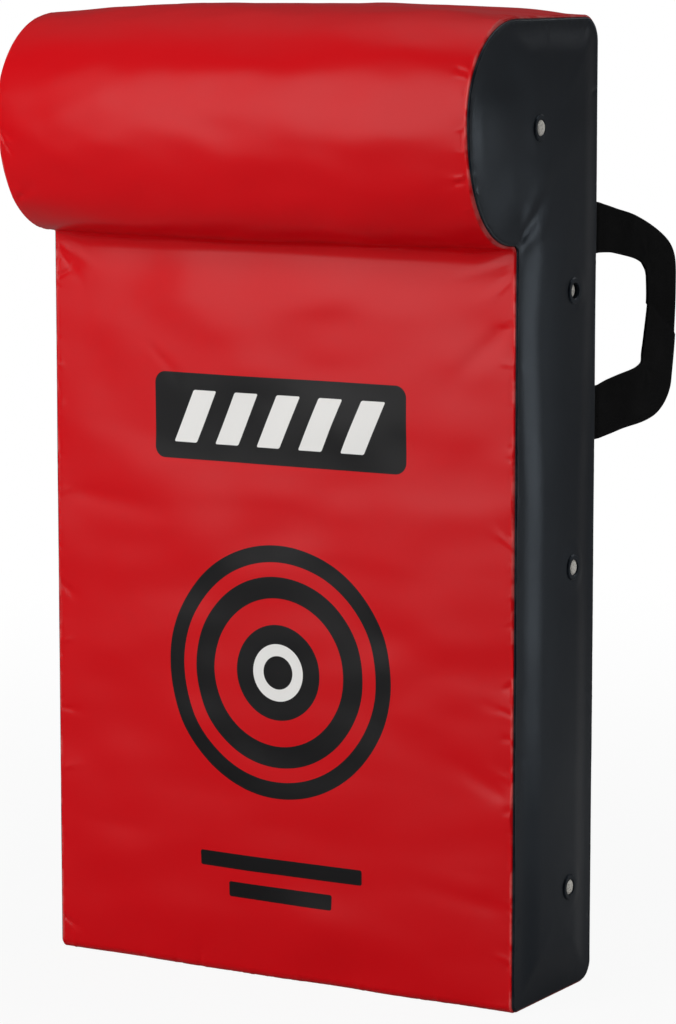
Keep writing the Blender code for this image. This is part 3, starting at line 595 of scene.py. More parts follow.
def settle(outline, lay, seams, seed):
    """Lets a panel's cloth settle between its seams, by cloth simulation.

    The seams are held. The cloth along them is cut a little long, as gathering stitches leave it,
    and the foam behind holds the rest lightly. It returns the height that any flat point takes.
    """
    low, high = outline.min(0), outline.max(0)
    columns = np.arange(low[0], high[0] + SETTLE_SPACING, SETTLE_SPACING)
    rows = np.arange(low[1], high[1] + SETTLE_SPACING, SETTLE_SPACING)
    flat = np.stack(np.meshgrid(columns, rows), axis=2).reshape(-1, 2)
    distance = seam_distance(flat, seams)
    within = inside(flat, outline[::4])
    start = np.random.default_rng(seed).uniform(-UNEVEN_START, UNEVEN_START, len(flat))
    corners = lay(flat, start)
    away = lay(flat, start + PROBE_RISE) - corners
    away /= np.linalg.norm(away, axis=1, keepdims=True)
    wide = len(columns)
    faces = [(i, i + 1, i + wide + 1, i + wide) for row in range(len(rows) - 1)
             for i in range(row * wide, row * wide + wide - 1)
             if within[i] and within[i + 1] and within[i + wide] and within[i + wide + 1]]
    used, faces = np.unique(np.array(faces), return_inverse=True)
    mesh = bpy.data.meshes.new("settling")
    mesh.from_pydata(corners[used].tolist(), [], faces.reshape(-1, 4).tolist())
    sheet = placed("settling", mesh)
    held = sheet.vertex_groups.new(name="held")
    gathered = sheet.vertex_groups.new(name="gathered")
    for index, depth in enumerate(distance[used]):
        held.add([index], 1.0 if depth < HELD_EDGE else FOUNDATION, "REPLACE")
        gathered.add([index], float(1 - ease(depth / GATHER)), "REPLACE")
    cloth = sheet.modifiers.new("cloth", "CLOTH")
    for name, value in SETTLE_CLOTH.items():
        setattr(cloth.settings, name, value)
    cloth.settings.effector_weights.gravity = 0.0
    cloth.collision_settings.use_collision = False
    cloth.point_cache.frame_start = 1
    cloth.point_cache.frame_end = SETTLE_FRAMES
    for frame_number in range(1, SETTLE_FRAMES + 1):
        bpy.context.scene.frame_set(frame_number)
    settled = sheet.evaluated_get(bpy.context.evaluated_depsgraph_get()).data
    places = np.zeros(len(used) * 3)
    settled.vertices.foreach_get("co", places)
    moved = np.einsum("ij,ij->i", places.reshape(-1, 3) - corners[used], away[used])
    bpy.data.objects.remove(sheet)
    bpy.context.scene.frame_set(1)
    heights = np.zeros(len(flat))
    heights[used] = SETTLE_CAP * np.tanh((moved - np.median(moved)) / SETTLE_CAP)
    heights = heights.reshape(len(rows), wide)

    def height(flat):
        column = np.clip((flat[:, 0] - low[0]) / SETTLE_SPACING, 0, wide - 1.001)
        row = np.clip((flat[:, 1] - low[1]) / SETTLE_SPACING, 0, len(rows) - 1.001)
        i, j = row.astype(int), column.astype(int)
        down, across = row - i, column - j
        near = heights[i, j] * (1 - across) + heights[i, j + 1] * across
        far = heights[i + 1, j] * (1 - across) + heights[i + 1, j + 1] * across
        return near * (1 - down) + far * down
    return height


def fold(flat, start, stop, width, height, spread=0.4):
    """A soft ridge, or a valley with a height below 0, that fans out from its start and dies out."""
    start, stop = np.array(start, float), np.array(stop, float)
    way = stop - start
    share = ((flat - start) @ way) / (way @ way)
    beside = np.abs((flat - start) @ np.array([-way[1], way[0]])) / np.linalg.norm(way)
    wide = width * (spread + (1 - spread) * np.clip(share, 0, 1))
    return height * ease(share * 5) * ease(1.7 * (1 - share)) * np.exp(-(beside / wide) ** 2)


def puckers(flat, distance, seam, every, length, height, seed, widths):
    """Small creases that run in from a seam, where its stitches gather the cloth."""
    dice = np.random.default_rng(seed)
    seam = np.array(seam, float)
    way = seam[1:] - seam[:-1]
    reach = np.concatenate([[0.0], np.cumsum(np.linalg.norm(way, axis=1))])
    close = distance < length * 2
    near = flat[close]
    total = np.zeros(len(near))
    place = every * dice.uniform(0.3, 1.0)
    while place < reach[-1]:
        index = min(np.searchsorted(reach, place) - 1, len(way) - 1)
        along = way[index] / np.linalg.norm(way[index])
        start = seam[index] + along * (place - reach[index])
        turn = math.radians(dice.uniform(-35, 35))
        inward = np.array([-along[1] * math.cos(turn) - along[0] * math.sin(turn),
                           along[0] * math.cos(turn) - along[1] * math.sin(turn)])
        run = length * dice.uniform(0.4, 1.6)
        width = dice.uniform(*widths)
        total += fold(near, start - inward * run * 0.1, start + inward * run, width,
                      height * dice.uniform(-1.0, 0.7))
        place += every * dice.uniform(0.4, 1.7)
    puckered = np.zeros(len(flat))
    puckered[close] = total
    return puckered


def uneven(flat, seed, wave, height, stretch=1.4):
    """Broad soft dents and swellings, as of cloth over foam that isn't quite flat."""
    return height * np.array([noise.noise(Vector((across / wave / stretch, way / wave, seed)))
                              + 0.5 * noise.noise(Vector((across / wave, way / wave * 1.9, -seed)))
                              for across, way in flat])


def worked(flat, distance, dents, settled, folds, gathers, seam):
    """The height of a panel's cloth: how it settled, its dents and folds, and its gathered seam."""
    total = uneven(flat, **dents) + settled(flat)
    for start, stop, width, height in folds:
        total += fold(flat, start, stop, width, height)
    for row in gathers:
        total += puckers(flat, distance, seam, **row)
    return total


def stitch_line(flat, distance):
    """The faint broken groove where the seam's hidden stitches pull the cloth down here and there."""
    pull = np.zeros(len(flat))
    close = np.flatnonzero(np.abs(distance - STITCH_LINE) < STITCH_WIDTH * 3)
    pull[close] = [0.35 + noise.noise(Vector((*point, 0.0)) / STITCH_WAVE) for point in flat[close]]
    return -STITCH_DEPTH * np.clip(pull, 0, 1) * np.exp(-((distance - STITCH_LINE) / STITCH_WIDTH) ** 2)


def crease_fillet(flat, away):
    """How far the cloth bridges the corner under the roll: softly, but drawn tight at both ends."""
    ends = ease((HALF_WIDTH - np.abs(flat[:, 0])) / CREASE_ENDS)
    radius = CREASE_TIGHT + (CREASE_SOFT - CREASE_TIGHT) * ends
    share = np.clip(away / radius, 0.27, 1.0)
    return radius * (1 - np.sqrt(1 - (1 - share) ** 2))


def coated_cloth(place, seam, colour, worn_and_highlit_edge, shine, sheen=WHITE):
    """PVC coating: faint woven grain, slow changes of gloss, and paler edges along the seams: rubbed
    wear, and a painted highlight where the rolled edge catches the light.
    """
    grain = place.noise(900.0, 3.0, 0.6)
    slow = place.noise(7.0, 3.0)
    # Painted highlight and wear: the seams' edges are tinted paler in patches, for rubbed wear and for
    # the light that the rolled edge catches.
    rub_and_edge_highlight = (1 - seam.rise(*RUB_AND_HIGHLIGHT_REACH)) * place.noise(75.0).rise(0.40, 0.64) * 0.8
    return {"Base Color": rub_and_edge_highlight.tint(colour, worn_and_highlit_edge),
            "Roughness": 0.27 + slow * 0.12,
            "Specular IOR Level": shine, "Specular Tint": sheen,
            "Normal": (grain * 0.6 + place.noise(260.0) * 0.4).bump(GRAIN_DEPTH)}


def printed_front(place, seam):
    surface = coated_cloth(place, seam, RED, RED_WORN_AND_EDGE_HIGHLIGHT, RED_SHINE)
    split = place.tree.nodes.new("ShaderNodeSeparateXYZ")
    feed(place.tree, split, {0: place})
    x, z = (Field(place.tree, split.outputs[name]) for name in ("X", "Z"))

    def within(distance):
        return 1 - distance.rise(-INK_EDGE, INK_EDGE)

    def plate(middle, half_width, half_height, corner, lean=0.0):
        across = abs(x - middle[0] + (z - middle[1]) * lean) - (half_width - corner)
        up = abs(z - middle[1]) - (half_height - corner)
        across, up = across.larger(0.0), up.larger(0.0)
        away = across.math("SQRT", across * across + up * up)
        return within(away - corner)

    def ring(centre, inner, outer):
        across, up = x - centre[0], z - centre[1]
        away = across.math("SQRT", across * across + up * up)
        return within(abs(away - (inner + outer) / 2) - (outer - inner) / 2)

    black = ring(TARGET, *TARGET_RINGS[0])
    for radii in TARGET_RINGS[1:]:
        black = black.larger(ring(TARGET, *radii))
    for shape in (PLATE, *PLAIN_BARS):
        black = black.larger(plate(**shape))
    white = ring(TARGET, *TARGET_EYE)
    for step in (-2, -1, 0, 1, 2):
        middle = (PLATE["middle"][0] + step * SLANTED_SPACING, PLATE["middle"][1])
        white = white.larger(plate(middle, **SLANTED_BAR))
    surface["Base Color"] = white.tint(black.tint(surface["Base Color"], INK_BLACK), INK_WHITE)
    surface["Roughness"] = surface["Roughness"] + black.larger(white) * 0.05
    return surface


front_stretches = (
    arc((-HALF_DEPTH + BASE_FRONT_RADIUS, BASE_FRONT_RADIUS), (BASE_FRONT_RADIUS,) * 2, 270, 180),
    line((-HALF_DEPTH, BASE_FRONT_RADIUS), (-HALF_DEPTH, CREASE_HEIGHT), (-1, 0)))
front = Profile(*front_stretches)


def panel_corners(start, stop):
    """The corners of a rectangle of cloth, as wide as the shield between its seams."""
    side = HALF_WIDTH - SEAM_INSET
    return [(-side, stop), (-side, start), (side, start), (side, stop), (-side, stop)]


def stretched(outline):
    """Works out the area that a panel was cut to, its seam allowances among it, and does nothing with
    it.
    """
    after = np.roll(outline, -1, axis=0)
    area = abs(np.sum(outline[:, 0] * after[:, 1] - outline[:, 1] * after[:, 0])) / 2
    area += SEAM_ALLOWANCE * np.linalg.norm(after - outline, axis=1).sum()


front_corners = panel_corners(SEAM_INSET, front.length)
front_outline = spaced(front_corners, SEAM_STEP)[:-1]
front_seam = spaced(front_corners[:4], SEAM_STEP)
FRONT_FOLDS = (
    ((-0.1247, 0.5340), (-0.0854, 0.4980), 0.0055, -0.0003),
    ((0.2170, 0.6130), (0.1500, 0.5930), 0.0045, 0.0005),
    ((0.2170, 0.6070), (0.1700, 0.5780), 0.0045, -0.0004),
    ((0.2170, 0.6000), (0.1950, 0.5800), 0.0032, 0.0004),
    ((-0.2170, 0.6120), (-0.1700, 0.5920), 0.0050, 0.0009),
    ((-0.2170, 0.6060), (-0.1850, 0.5760), 0.0040, -0.0006),
    ((0.2170, 0.5650), (0.1500, 0.5050), 0.0120, -0.0008),
    ((0.2170, 0.1800), (0.1500, 0.2150), 0.0120, -0.0009),
    ((0.2170, 0.0900), (0.1000, 0.1080), 0.0140, -0.0009),
    ((-0.2170, 0.4050), (-0.0440, 0.3850), 0.0160, -0.0008),
)
FRONT_DENTS = {"seed": 3.7, "wave": 0.058, "height": 0.0019}
FRONT_GATHERS = (
    {"every": 0.0070, "length": 0.006, "height": 0.0005, "widths": (0.0011, 0.0020), "seed": 12},
    {"every": 0.045, "length": 0.026, "height": 0.0010, "widths": (0.003, 0.005), "seed": 13},
)
front_settled = settle(front_outline, front.wrap(FRONT_CROWN), [front_seam], seed=14)


def front_relief(flat, distance):
    total = worked(flat, distance, FRONT_DENTS, front_settled, FRONT_FOLDS, FRONT_GATHERS, front_seam)
    away = front.length - flat[:, 1]
    calm = ease(distance / SEAM_CALM) * ease(away / CREASE_CALM)
    return total * calm + stitch_line(flat, distance) + crease_fillet(flat, away)


front_panel = cut_cloth("front_panel_cloth", front_outline, front.wrap(FRONT_CROWN), front_relief,
                        seams=[front_seam])
dress(front_panel, finish("printed_red_pvc", printed_front))
stretched(front_outline)
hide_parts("front_panel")


# Roll cover and base panel
# The same red cloth over the half-round roll and the top, and under the base. The roll's cloth
# is the tightest on the shield, so that it gathers at its ends, where it turns into the sides.

ROLL_CROWN = 0.008
ROLL_FULLNESS = 3.4
TOP_BACK_RADIUS = 0.022
BASE_BACK_RADIUS = 0.018

roll_stretches = (
    arc((-HALF_DEPTH, ROLL_NOSE_HEIGHT), (ROLL_REACH, ROLL_NOSE_HEIGHT - CREASE_HEIGHT),
        270, 180, ROLL_LOWER_POWER),
    arc((-HALF_DEPTH, ROLL_NOSE_HEIGHT), (ROLL_REACH, BODY_HEIGHT - ROLL_NOSE_HEIGHT), 180, 90),
    line((-HALF_DEPTH, BODY_HEIGHT), (HALF_DEPTH - TOP_BACK_RADIUS, BODY_HEIGHT), (0, 1)),
    arc((HALF_DEPTH - TOP_BACK_RADIUS, BODY_HEIGHT - TOP_BACK_RADIUS), (TOP_BACK_RADIUS,) * 2,
        90, 0))
base_stretches = (
    arc((HALF_DEPTH - BASE_BACK_RADIUS, BASE_BACK_RADIUS), (BASE_BACK_RADIUS,) * 2, 0, -90),
    line((HALF_DEPTH - BASE_BACK_RADIUS, 0), (-HALF_DEPTH + BASE_FRONT_RADIUS, 0), (0, -1)))
roll = Profile(*roll_stretches)
base = Profile(*base_stretches)
red_pvc = finish("red_pvc", lambda place, seam: coated_cloth(place, seam, RED, RED_WORN_AND_EDGE_HIGHLIGHT, RED_SHINE))

roll_corners = panel_corners(0.0, roll.length - SEAM_INSET)
roll_outline = spaced(roll_corners, SEAM_STEP)[:-1]
roll_seam = spaced(roll_corners[2:] + roll_corners[1:2], SEAM_STEP)
ROLL_FOLDS = (
    ((0.2175, 0.1860), (0.1960, 0.1905), 0.0026, -0.0006),
    ((0.2175, 0.1815), (0.2010, 0.1840), 0.0022, 0.0005),
    ((0.2175, 0.1420), (0.2070, 0.1400), 0.0019, 0.0005),
    ((0.2175, 0.1230), (0.2080, 0.1250), 0.0017, 0.0004),
    ((0.2175, 0.1050), (0.1960, 0.1020), 0.0026, 0.0007),
    ((0.2175, 0.1005), (0.1850, 0.0960), 0.0032, -0.0007),
    ((0.2175, 0.0780), (0.2040, 0.0760), 0.0022, 0.0004),
    ((-0.2175, 0.1300), (-0.2030, 0.1080), 0.0028, -0.0009),
    ((-0.2175, 0.1210), (-0.1950, 0.1240), 0.0032, 0.0006),
    ((-0.2140, 0.0700), (-0.1830, 0.0910), 0.0038, -0.0009),
)
ROLL_DENTS = {"seed": 8.2, "wave": 0.040, "height": 0.0017, "stretch": 2.2}
ROLL_GATHERS = (
    {"every": 0.0070, "length": 0.006, "height": 0.0006, "widths": (0.0011, 0.0020), "seed": 22},
    {"every": 0.060, "length": 0.020, "height": 0.0010, "widths": (0.003, 0.0045), "seed": 23},
)
roll_settled = settle(roll_outline, roll.wrap(ROLL_CROWN, ROLL_FULLNESS), [roll_seam], seed=24)


def roll_relief(flat, distance):
    total = worked(flat, distance, ROLL_DENTS, roll_settled, ROLL_FOLDS, ROLL_GATHERS, roll_seam)
    calm = ease(distance / SEAM_CALM) * ease(flat[:, 1] / CREASE_CALM)
    return total * calm + stitch_line(flat, distance) + crease_fillet(flat, flat[:, 1])


def base_relief(flat, distance):
    return np.zeros(len(flat))


roll_cover = cut_cloth("roll_cover_cloth", roll_outline, roll.wrap(ROLL_CROWN, ROLL_FULLNESS),
                       roll_relief, seams=[roll_seam])
dress(roll_cover, red_pvc)
stretched(roll_outline)
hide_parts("roll_cover")
base_outline = spaced(panel_corners(SEAM_INSET, base.length - SEAM_INSET), SEAM_STEP)[:-1]
base_panel = cut_cloth("base_panel_cloth", base_outline, base.wrap(0.0), base_relief)
dress(base_panel, red_pvc)
stretched(base_outline)
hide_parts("base_panel")


# Side panels
# Black cloth cut to the slab and roll together, the left one the mirror of the right. The foam
# swells it between its seams, the corner under the roll pulls it into folds, and it is punched
# for four eyelets.

EYELET_RISE = 0.004
SIDE_CROWN = 0.0018
CROWN_REACH = 0.068
SHOULDER_RISE = 0.0021
SHOULDER_RUN = 0.028
SHOULDER_STARTS = (0.012, 0.002)
SHOULDER_HEIGHTS = (0.42, 0.56)
ROLL_MIDDLE = (-0.120, 0.715)
ROLL_END_RADIUS = 0.055
CORNER_REACH = 0.035
RIM_STRIP = {"rise": 0.0013, "start": 0.003, "run": 0.016, "middle": 0.716, "reach": 0.030}
CLOTH_HOLE = 0.0074
DIMPLE_REACH = 0.014
DIMPLE_FLAT = 0.7
BLACK = (0.0042, 0.0050, 0.0080, 1.0)
BLACK_SHINE = 0.2
BLACK_SHEEN = (0.72, 0.98, 1.25, 1.0)
BLACK_WORN = (0.022, 0.023, 0.025, 1.0)
black_pvc = finish("black_pvc", lambda place, seam: coated_cloth(place, seam, BLACK, BLACK_WORN,
                                                                BLACK_SHINE, BLACK_SHEEN))

back_stretch = line((HALF_DEPTH, BODY_HEIGHT - TOP_BACK_RADIUS), (HALF_DEPTH, BASE_BACK_RADIUS), (1, 0))
side_edge = Profile(*front_stretches, *roll_stretches, back_stretch, *base_stretches)
side_ways = np.arange(0.0, side_edge.length, SEAM_STEP)
(side_y, side_z), (side_ny, side_nz) = side_edge.at(side_ways)
side_outline = np.stack([side_y - side_ny * SEAM_INSET, side_z - side_nz * SEAM_INSET], axis=1)[::-1]
CREASE_CORNER = (-HALF_DEPTH + SEAM_INSET, CREASE_HEIGHT + SEAM_INSET)
SIDE_FOLDS = (
    (CREASE_CORNER, (-0.0253, 0.6633), 0.0085, -0.0008),
    ((-0.0702, 0.6130), (-0.0054, 0.6543), 0.0130, 0.0011),
    ((-0.0650, 0.6370), (-0.0060, 0.6964), 0.0140, 0.0006),
    ((-0.1540, 0.6835), (-0.1380, 0.6800), 0.0028, -0.0005),
)
SIDE_DENTS = {"seed": 5.1, "wave": 0.080, "height": 0.0007}
SIDE_GATHERS = (
    {"every": 0.0080, "length": 0.005, "height": 0.0003, "widths": (0.0011, 0.0020), "seed": 32},
    {"every": 0.080, "length": 0.016, "height": 0.0005, "widths": (0.003, 0.005), "seed": 33},
)


def side_lay(flat, height):
    return np.stack([HALF_WIDTH + height, flat[:, 0], flat[:, 1]], axis=1)


def shoulder(flat, distance):
    """The foam's swell. It is steepest some way in from the seam, and slow on the roll's end."""
    low, high = SHOULDER_HEIGHTS
    start = np.interp(flat[:, 1], (low, high), SHOULDER_STARTS)
    on_roll = ease(1.6 - np.hypot(*(flat - ROLL_MIDDLE).T) / ROLL_END_RADIUS)
    at_corner = np.exp(-(np.hypot(*(flat - CREASE_CORNER).T) / CORNER_REACH) ** 2)
    run = SHOULDER_RUN * (1 + 1.4 * on_roll + 0.8 * at_corner)
    swell = (SIDE_CROWN * ease(distance / CROWN_REACH)
             + SHOULDER_RISE * (1 - 0.9 * on_roll) * ease((distance - start * (1 - at_corner)) / run))
    strip = RIM_STRIP["rise"] * ease((distance - RIM_STRIP["start"]) / RIM_STRIP["run"])
    strip = strip * np.exp(-((flat[:, 1] - RIM_STRIP["middle"]) / RIM_STRIP["reach"]) ** 2) * on_roll
    return swell + strip


side_settled = settle(side_outline, side_lay, [np.concatenate([side_outline, side_outline[:1]])],
                      seed=34)


def side_relief(flat, distance):
    total = worked(flat, distance, SIDE_DENTS, side_settled, SIDE_FOLDS, SIDE_GATHERS, side_outline)
    total = total * ease(distance / SEAM_CALM) + shoulder(flat, distance)
    for spot in EYELET_SPOTS:
        away = np.hypot(flat[:, 0] - spot.y, flat[:, 1] - spot.z)
        far = ease(away / DIMPLE_REACH - DIMPLE_FLAT)
        total = EYELET_RISE + (total - EYELET_RISE) * far
    return total


side_panel = cut_cloth("side_panel_right_cloth", side_outline, side_lay, side_relief,
                       holes=[(np.array([spot.y, spot.z]), CLOTH_HOLE) for spot in EYELET_SPOTS])


def mirrored(piece, name):
    """The same piece for the shield's left."""
    mesh = piece.data.copy()
    mesh.name = name
    points = np.array([corner.co for corner in mesh.vertices]) * (-1, 1, 1)
    mesh.vertices.foreach_set("co", points.ravel())
    mesh.flip_normals()
    twin = piece.copy()
    twin.name = name
    twin.data = mesh
    bpy.context.scene.collection.objects.link(twin)
    return twin


for side, panel in (("right", side_panel), ("left", mirrored(side_panel, "side_panel_left_cloth"))):
    dress(panel, black_pvc)
    stretched(side_outline)
    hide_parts("side_panel_" + side)


# Eyelets
# Black-painted brass eyelets in the side panels, clinched over washers inside. They let the air out
# when the foam is hit. The paint is chipped here and there.

PAINT = (0.0042, 0.0050, 0.0080, 1.0)
BRASS = (0.55, 0.42, 0.22, 1.0)
PAINT_RIPPLE = 0.00003


def painted_metal(place, seam):
    chips = place.noise(420.0, 3.0).rise(0.72, 0.76)
    return {"Base Color": chips.tint(PAINT, BRASS), "Metallic": chips,
            "Specular IOR Level": BLACK_SHINE, "Specular Tint": BLACK_SHEEN,
            "Roughness": 0.30 + place.noise(90.0) * 0.15,
            "Normal": place.noise(300.0).bump(PAINT_RIPPLE)}


def repaint(prefix, material):
    for name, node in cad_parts.items():
        if name.startswith(prefix):
            for holder in node.material_slots:
                holder.material = material


paint_finish = finish("black_painted_brass", painted_metal)
repaint("eyelet", paint_finish)


# Back panels
# Black PVC-coated cloth in two halves, sewn together on the middle seam above and below the window
# that the zip is sewn into. Each half is sewn to its side panel and, at the top and foot, to the
# red cover.

BACK_CROWN = 0.004
ZIP_WINDOW = 0.014
ZIP_CALM = 0.030
ROOM_BELOW_ZIP = 0.012
ROOM_ABOVE_ZIP = 0.006
WINDOW_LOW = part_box("zip_bottom_stop")[0].z - ROOM_BELOW_ZIP
WINDOW_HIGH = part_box("zip_top_stop_right")[1].z + ROOM_ABOVE_ZIP
MIDDLE_INSET = SEAM_INSET / 3
BACK_SEAM_STEP = 0.01

back = Profile(back_stretch)


def back_way(height):
    return BODY_HEIGHT - TOP_BACK_RADIUS - height


back_corners = [(HALF_WIDTH - SEAM_INSET, SEAM_INSET),
                (HALF_WIDTH - SEAM_INSET, back.length - SEAM_INSET),
                (MIDDLE_INSET, back.length - SEAM_INSET),
                (MIDDLE_INSET, back_way(WINDOW_LOW)), (ZIP_WINDOW / 2, back_way(WINDOW_LOW)),
                (ZIP_WINDOW / 2, back_way(WINDOW_HIGH)), (MIDDLE_INSET, back_way(WINDOW_HIGH)),
                (MIDDLE_INSET, SEAM_INSET), (HALF_WIDTH - SEAM_INSET, SEAM_INSET)]
back_outline = spaced(back_corners, SEAM_STEP)[:-1]
back_seams = [spaced(back_corners[:4], BACK_SEAM_STEP), spaced(back_corners[6:], BACK_SEAM_STEP)]

BACK_DENTS = {"seed": 6.4, "wave": 0.070, "height": 0.0012}
BACK_GATHERS = (
    {"every": 0.0080, "length": 0.006, "height": 0.0004, "widths": (0.0011, 0.0020), "seed": 42},
    {"every": 0.050, "length": 0.024, "height": 0.0009, "widths": (0.003, 0.005), "seed": 43},
)
back_settled = settle(back_outline, back.wrap(BACK_CROWN), back_seams, seed=44)


def back_relief(flat, distance):
    total = worked(flat, distance, BACK_DENTS, back_settled, (), BACK_GATHERS, back_seams[0])
    calm = ease((flat[:, 0] - ZIP_WINDOW / 2) / ZIP_CALM)
    return total * ease(distance / SEAM_CALM) * calm


back_panel = cut_cloth("back_panel_right_cloth", back_outline, back.wrap(BACK_CROWN), back_relief,
                       seams=back_seams)
for side, panel in (("right", back_panel), ("left", mirrored(back_panel, "back_panel_left_cloth"))):
    dress(panel, black_pvc)
    stretched(back_outline)
    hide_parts("back_panel_" + side)


# Zip
# A moulded nylon zip in the back's window, through which the foam goes in. Each tape is held by a
# row of stitches through the edge of its back panel. Its slider and pull are painted as the
# eyelets are.

NYLON = (0.012, 0.012, 0.013, 1.0)
THREAD = (0.010, 0.010, 0.011, 1.0)
STITCH_LENGTH = 0.0034
STITCH_PITCH = 0.0042
THREAD_RADIUS = 0.00035
STITCH_EDGE = 0.0032
THREAD_SIDES = 6
THREAD_RINGS = 7
NYLON_GRAIN = 0.00004


def moulded_nylon(place, seam):
    return {"Base Color": place.noise(120.0).tint(NYLON, BLACK_WORN),
            "Roughness": 0.42 + place.noise(200.0) * 0.2,
            "Normal": place.noise(700.0).bump(NYLON_GRAIN)}


def sewing_thread(place, seam):
    return {"Base Color": THREAD, "Roughness": 0.7 + place.noise(400.0) * 0.2}


def stitches(name, places, lay):
    """A row of stitches along a flat line: each a short bowed piece of thread, let into the cloth."""
    ways = np.concatenate([[0.0], np.cumsum(np.linalg.norm(np.diff(places, axis=0), axis=1))])
    form = bmesh.new()
    for start in np.arange(0.0, ways[-1] - STITCH_LENGTH, STITCH_PITCH):
        before = None
        for share in np.linspace(0, 1, THREAD_RINGS):
            way = start + share * STITCH_LENGTH
            flat = np.array([[np.interp(way, ways, places[:, axis]) for axis in (0, 1)]])
            bow = THREAD_RADIUS * (1.5 * math.sin(math.pi * share) - 0.5)
            middle = lay(flat, np.array([bow]))[0]
            thick = THREAD_RADIUS * (0.55 + 0.45 * math.sin(math.pi * share))
            ring = [form.verts.new((middle[0] + thick * math.cos(turn),
                                    middle[1] + thick * math.sin(turn), middle[2]))
                    for turn in np.linspace(0, 2 * math.pi, THREAD_SIDES, endpoint=False)]
            if before:
                bridge(form, before, ring)
            before = ring
    return modelled(name, form)


thread_finish = finish("black_thread", sewing_thread)
stitch_across = ZIP_WINDOW / 2 + STITCH_EDGE
stitch_path = np.array([(stitch_across, back_way(WINDOW_HIGH)), (stitch_across, back_way(WINDOW_LOW))])
zip_stitches = stitches("zip_stitches_right", stitch_path, back.wrap(BACK_CROWN))
for row in (zip_stitches, mirrored(zip_stitches, "zip_stitches_left")):
    dress(row, thread_finish)
repaint("zip", finish("black_nylon", moulded_nylon))
repaint("zip_slider", paint_finish)
repaint("zip_pull", paint_finish)


# Hand loops
# One length of black webbing on each side, sewn into the seam of side and back at both ends. It is
# bent on edge round its two corners, where it ripples, and turned over itself across the grip.

WEBBING_BLACK = (0.0019, 0.0019, 0.0021, 1.0)
# The next colour is the webbing's paler tone: dust, the weave's ribs, and painted light on the
# turned-over layer.
WEBBING_DUST_AND_LIGHT = (0.0075, 0.0075, 0.0079, 1.0)
ROOT_TUCK = 0.0011
TURNED_LIFT = 0.0011
WEBBING_THICKNESS = 0.0018
WEBBING_X = (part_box("loop_tail_right_upper")[0].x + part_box("loop_tail_right_upper")[1].x) / 2
LOOP_EDGES = (
    ((0.050, 0.649), (0.050, 0.607)), ((0.060, 0.649), (0.060, 0.607)),
    ((0.070, 0.649), (0.070, 0.607)), ((0.084, 0.646), (0.085, 0.6065)),
    ((0.103, 0.642), (0.103, 0.605)), ((0.132, 0.636), (0.126, 0.601)),
    ((0.165, 0.626), (0.143, 0.597)), ((0.193, 0.614), (0.153, 0.592)),
    ((0.208, 0.603), (0.158, 0.585)), ((0.2140, 0.590), (0.1600, 0.577)),
    ((0.2145, 0.568), (0.1618, 0.562)), ((0.2142, 0.545), (0.1605, 0.548)),
    ((0.2132, 0.520), (0.1570, 0.532)), ((0.2100, 0.497), (0.1530, 0.519)),
    ((0.2065, 0.484), (0.1500, 0.511)), ((0.1960, 0.473), (0.1430, 0.508)),
    ((0.1790, 0.465), (0.1300, 0.506)), ((0.1560, 0.461), (0.1140, 0.504)),
    ((0.1260, 0.459), (0.0980, 0.502)), ((0.0960, 0.456), (0.0840, 0.500)),
    ((0.070, 0.454), (0.070, 0.498)), ((0.060, 0.454), (0.060, 0.498)),
    ((0.050, 0.454), (0.050, 0.498)))
ALONG_COUNT = 260
ACROSS_COUNT = 25
CURVE_STEPS = 24
LOOP_LIFT = 0.0021
LIFT_START = 0.110
LIFT_RUN = 0.030
TURN_SPOT = (0.186, 0.546)
TURN_SLOPE = -0.55
TURN_EDGE = 0.0010
TUCK_END = 0.076
TUCK_RUN = 0.006
CORNER_SPOTS = ((0.160, 0.598), (0.158, 0.506))
CORNER_RIPPLE = 0.0004
RIPPLE_REACH = 0.030
RIPPLE_START = 0.012
SLACK_HEIGHT = 0.0008
SLACK_START = 0.075
SLACK_RUN = 0.020
RIBS_ACROSS = 28
WEFT_PITCH = 0.0022
WEAVE_DEPTH = 0.0005


def smooth_through(points, count):
    """A Catmull-Rom curve through some points, evenly spaced by their lengths apart."""
    points = np.array(points, float)
    ends = np.concatenate([[2 * points[0] - points[1]], points, [2 * points[-1] - points[-2]]])
    made = []
    for before, start, stop, after in zip(ends, ends[1:], ends[2:], ends[3:]):
        for share in np.linspace(0, 1, CURVE_STEPS, endpoint=False):
            made.append(0.5 * (2 * start + (stop - before) * share
                               + (2 * before - 5 * start + 4 * stop - after) * share ** 2
                               + (3 * start - before - 3 * stop + after) * share ** 3))
    made = np.array(made + [points[-1]])
    middle = made.reshape(len(made), -1, 2).mean(1)
    ways = np.concatenate([[0.0], np.cumsum(np.linalg.norm(np.diff(middle, axis=0), axis=1))])
    even = np.linspace(0, ways[-1], count)
    return np.stack([np.interp(even, ways, column) for column in made.T], axis=1), even


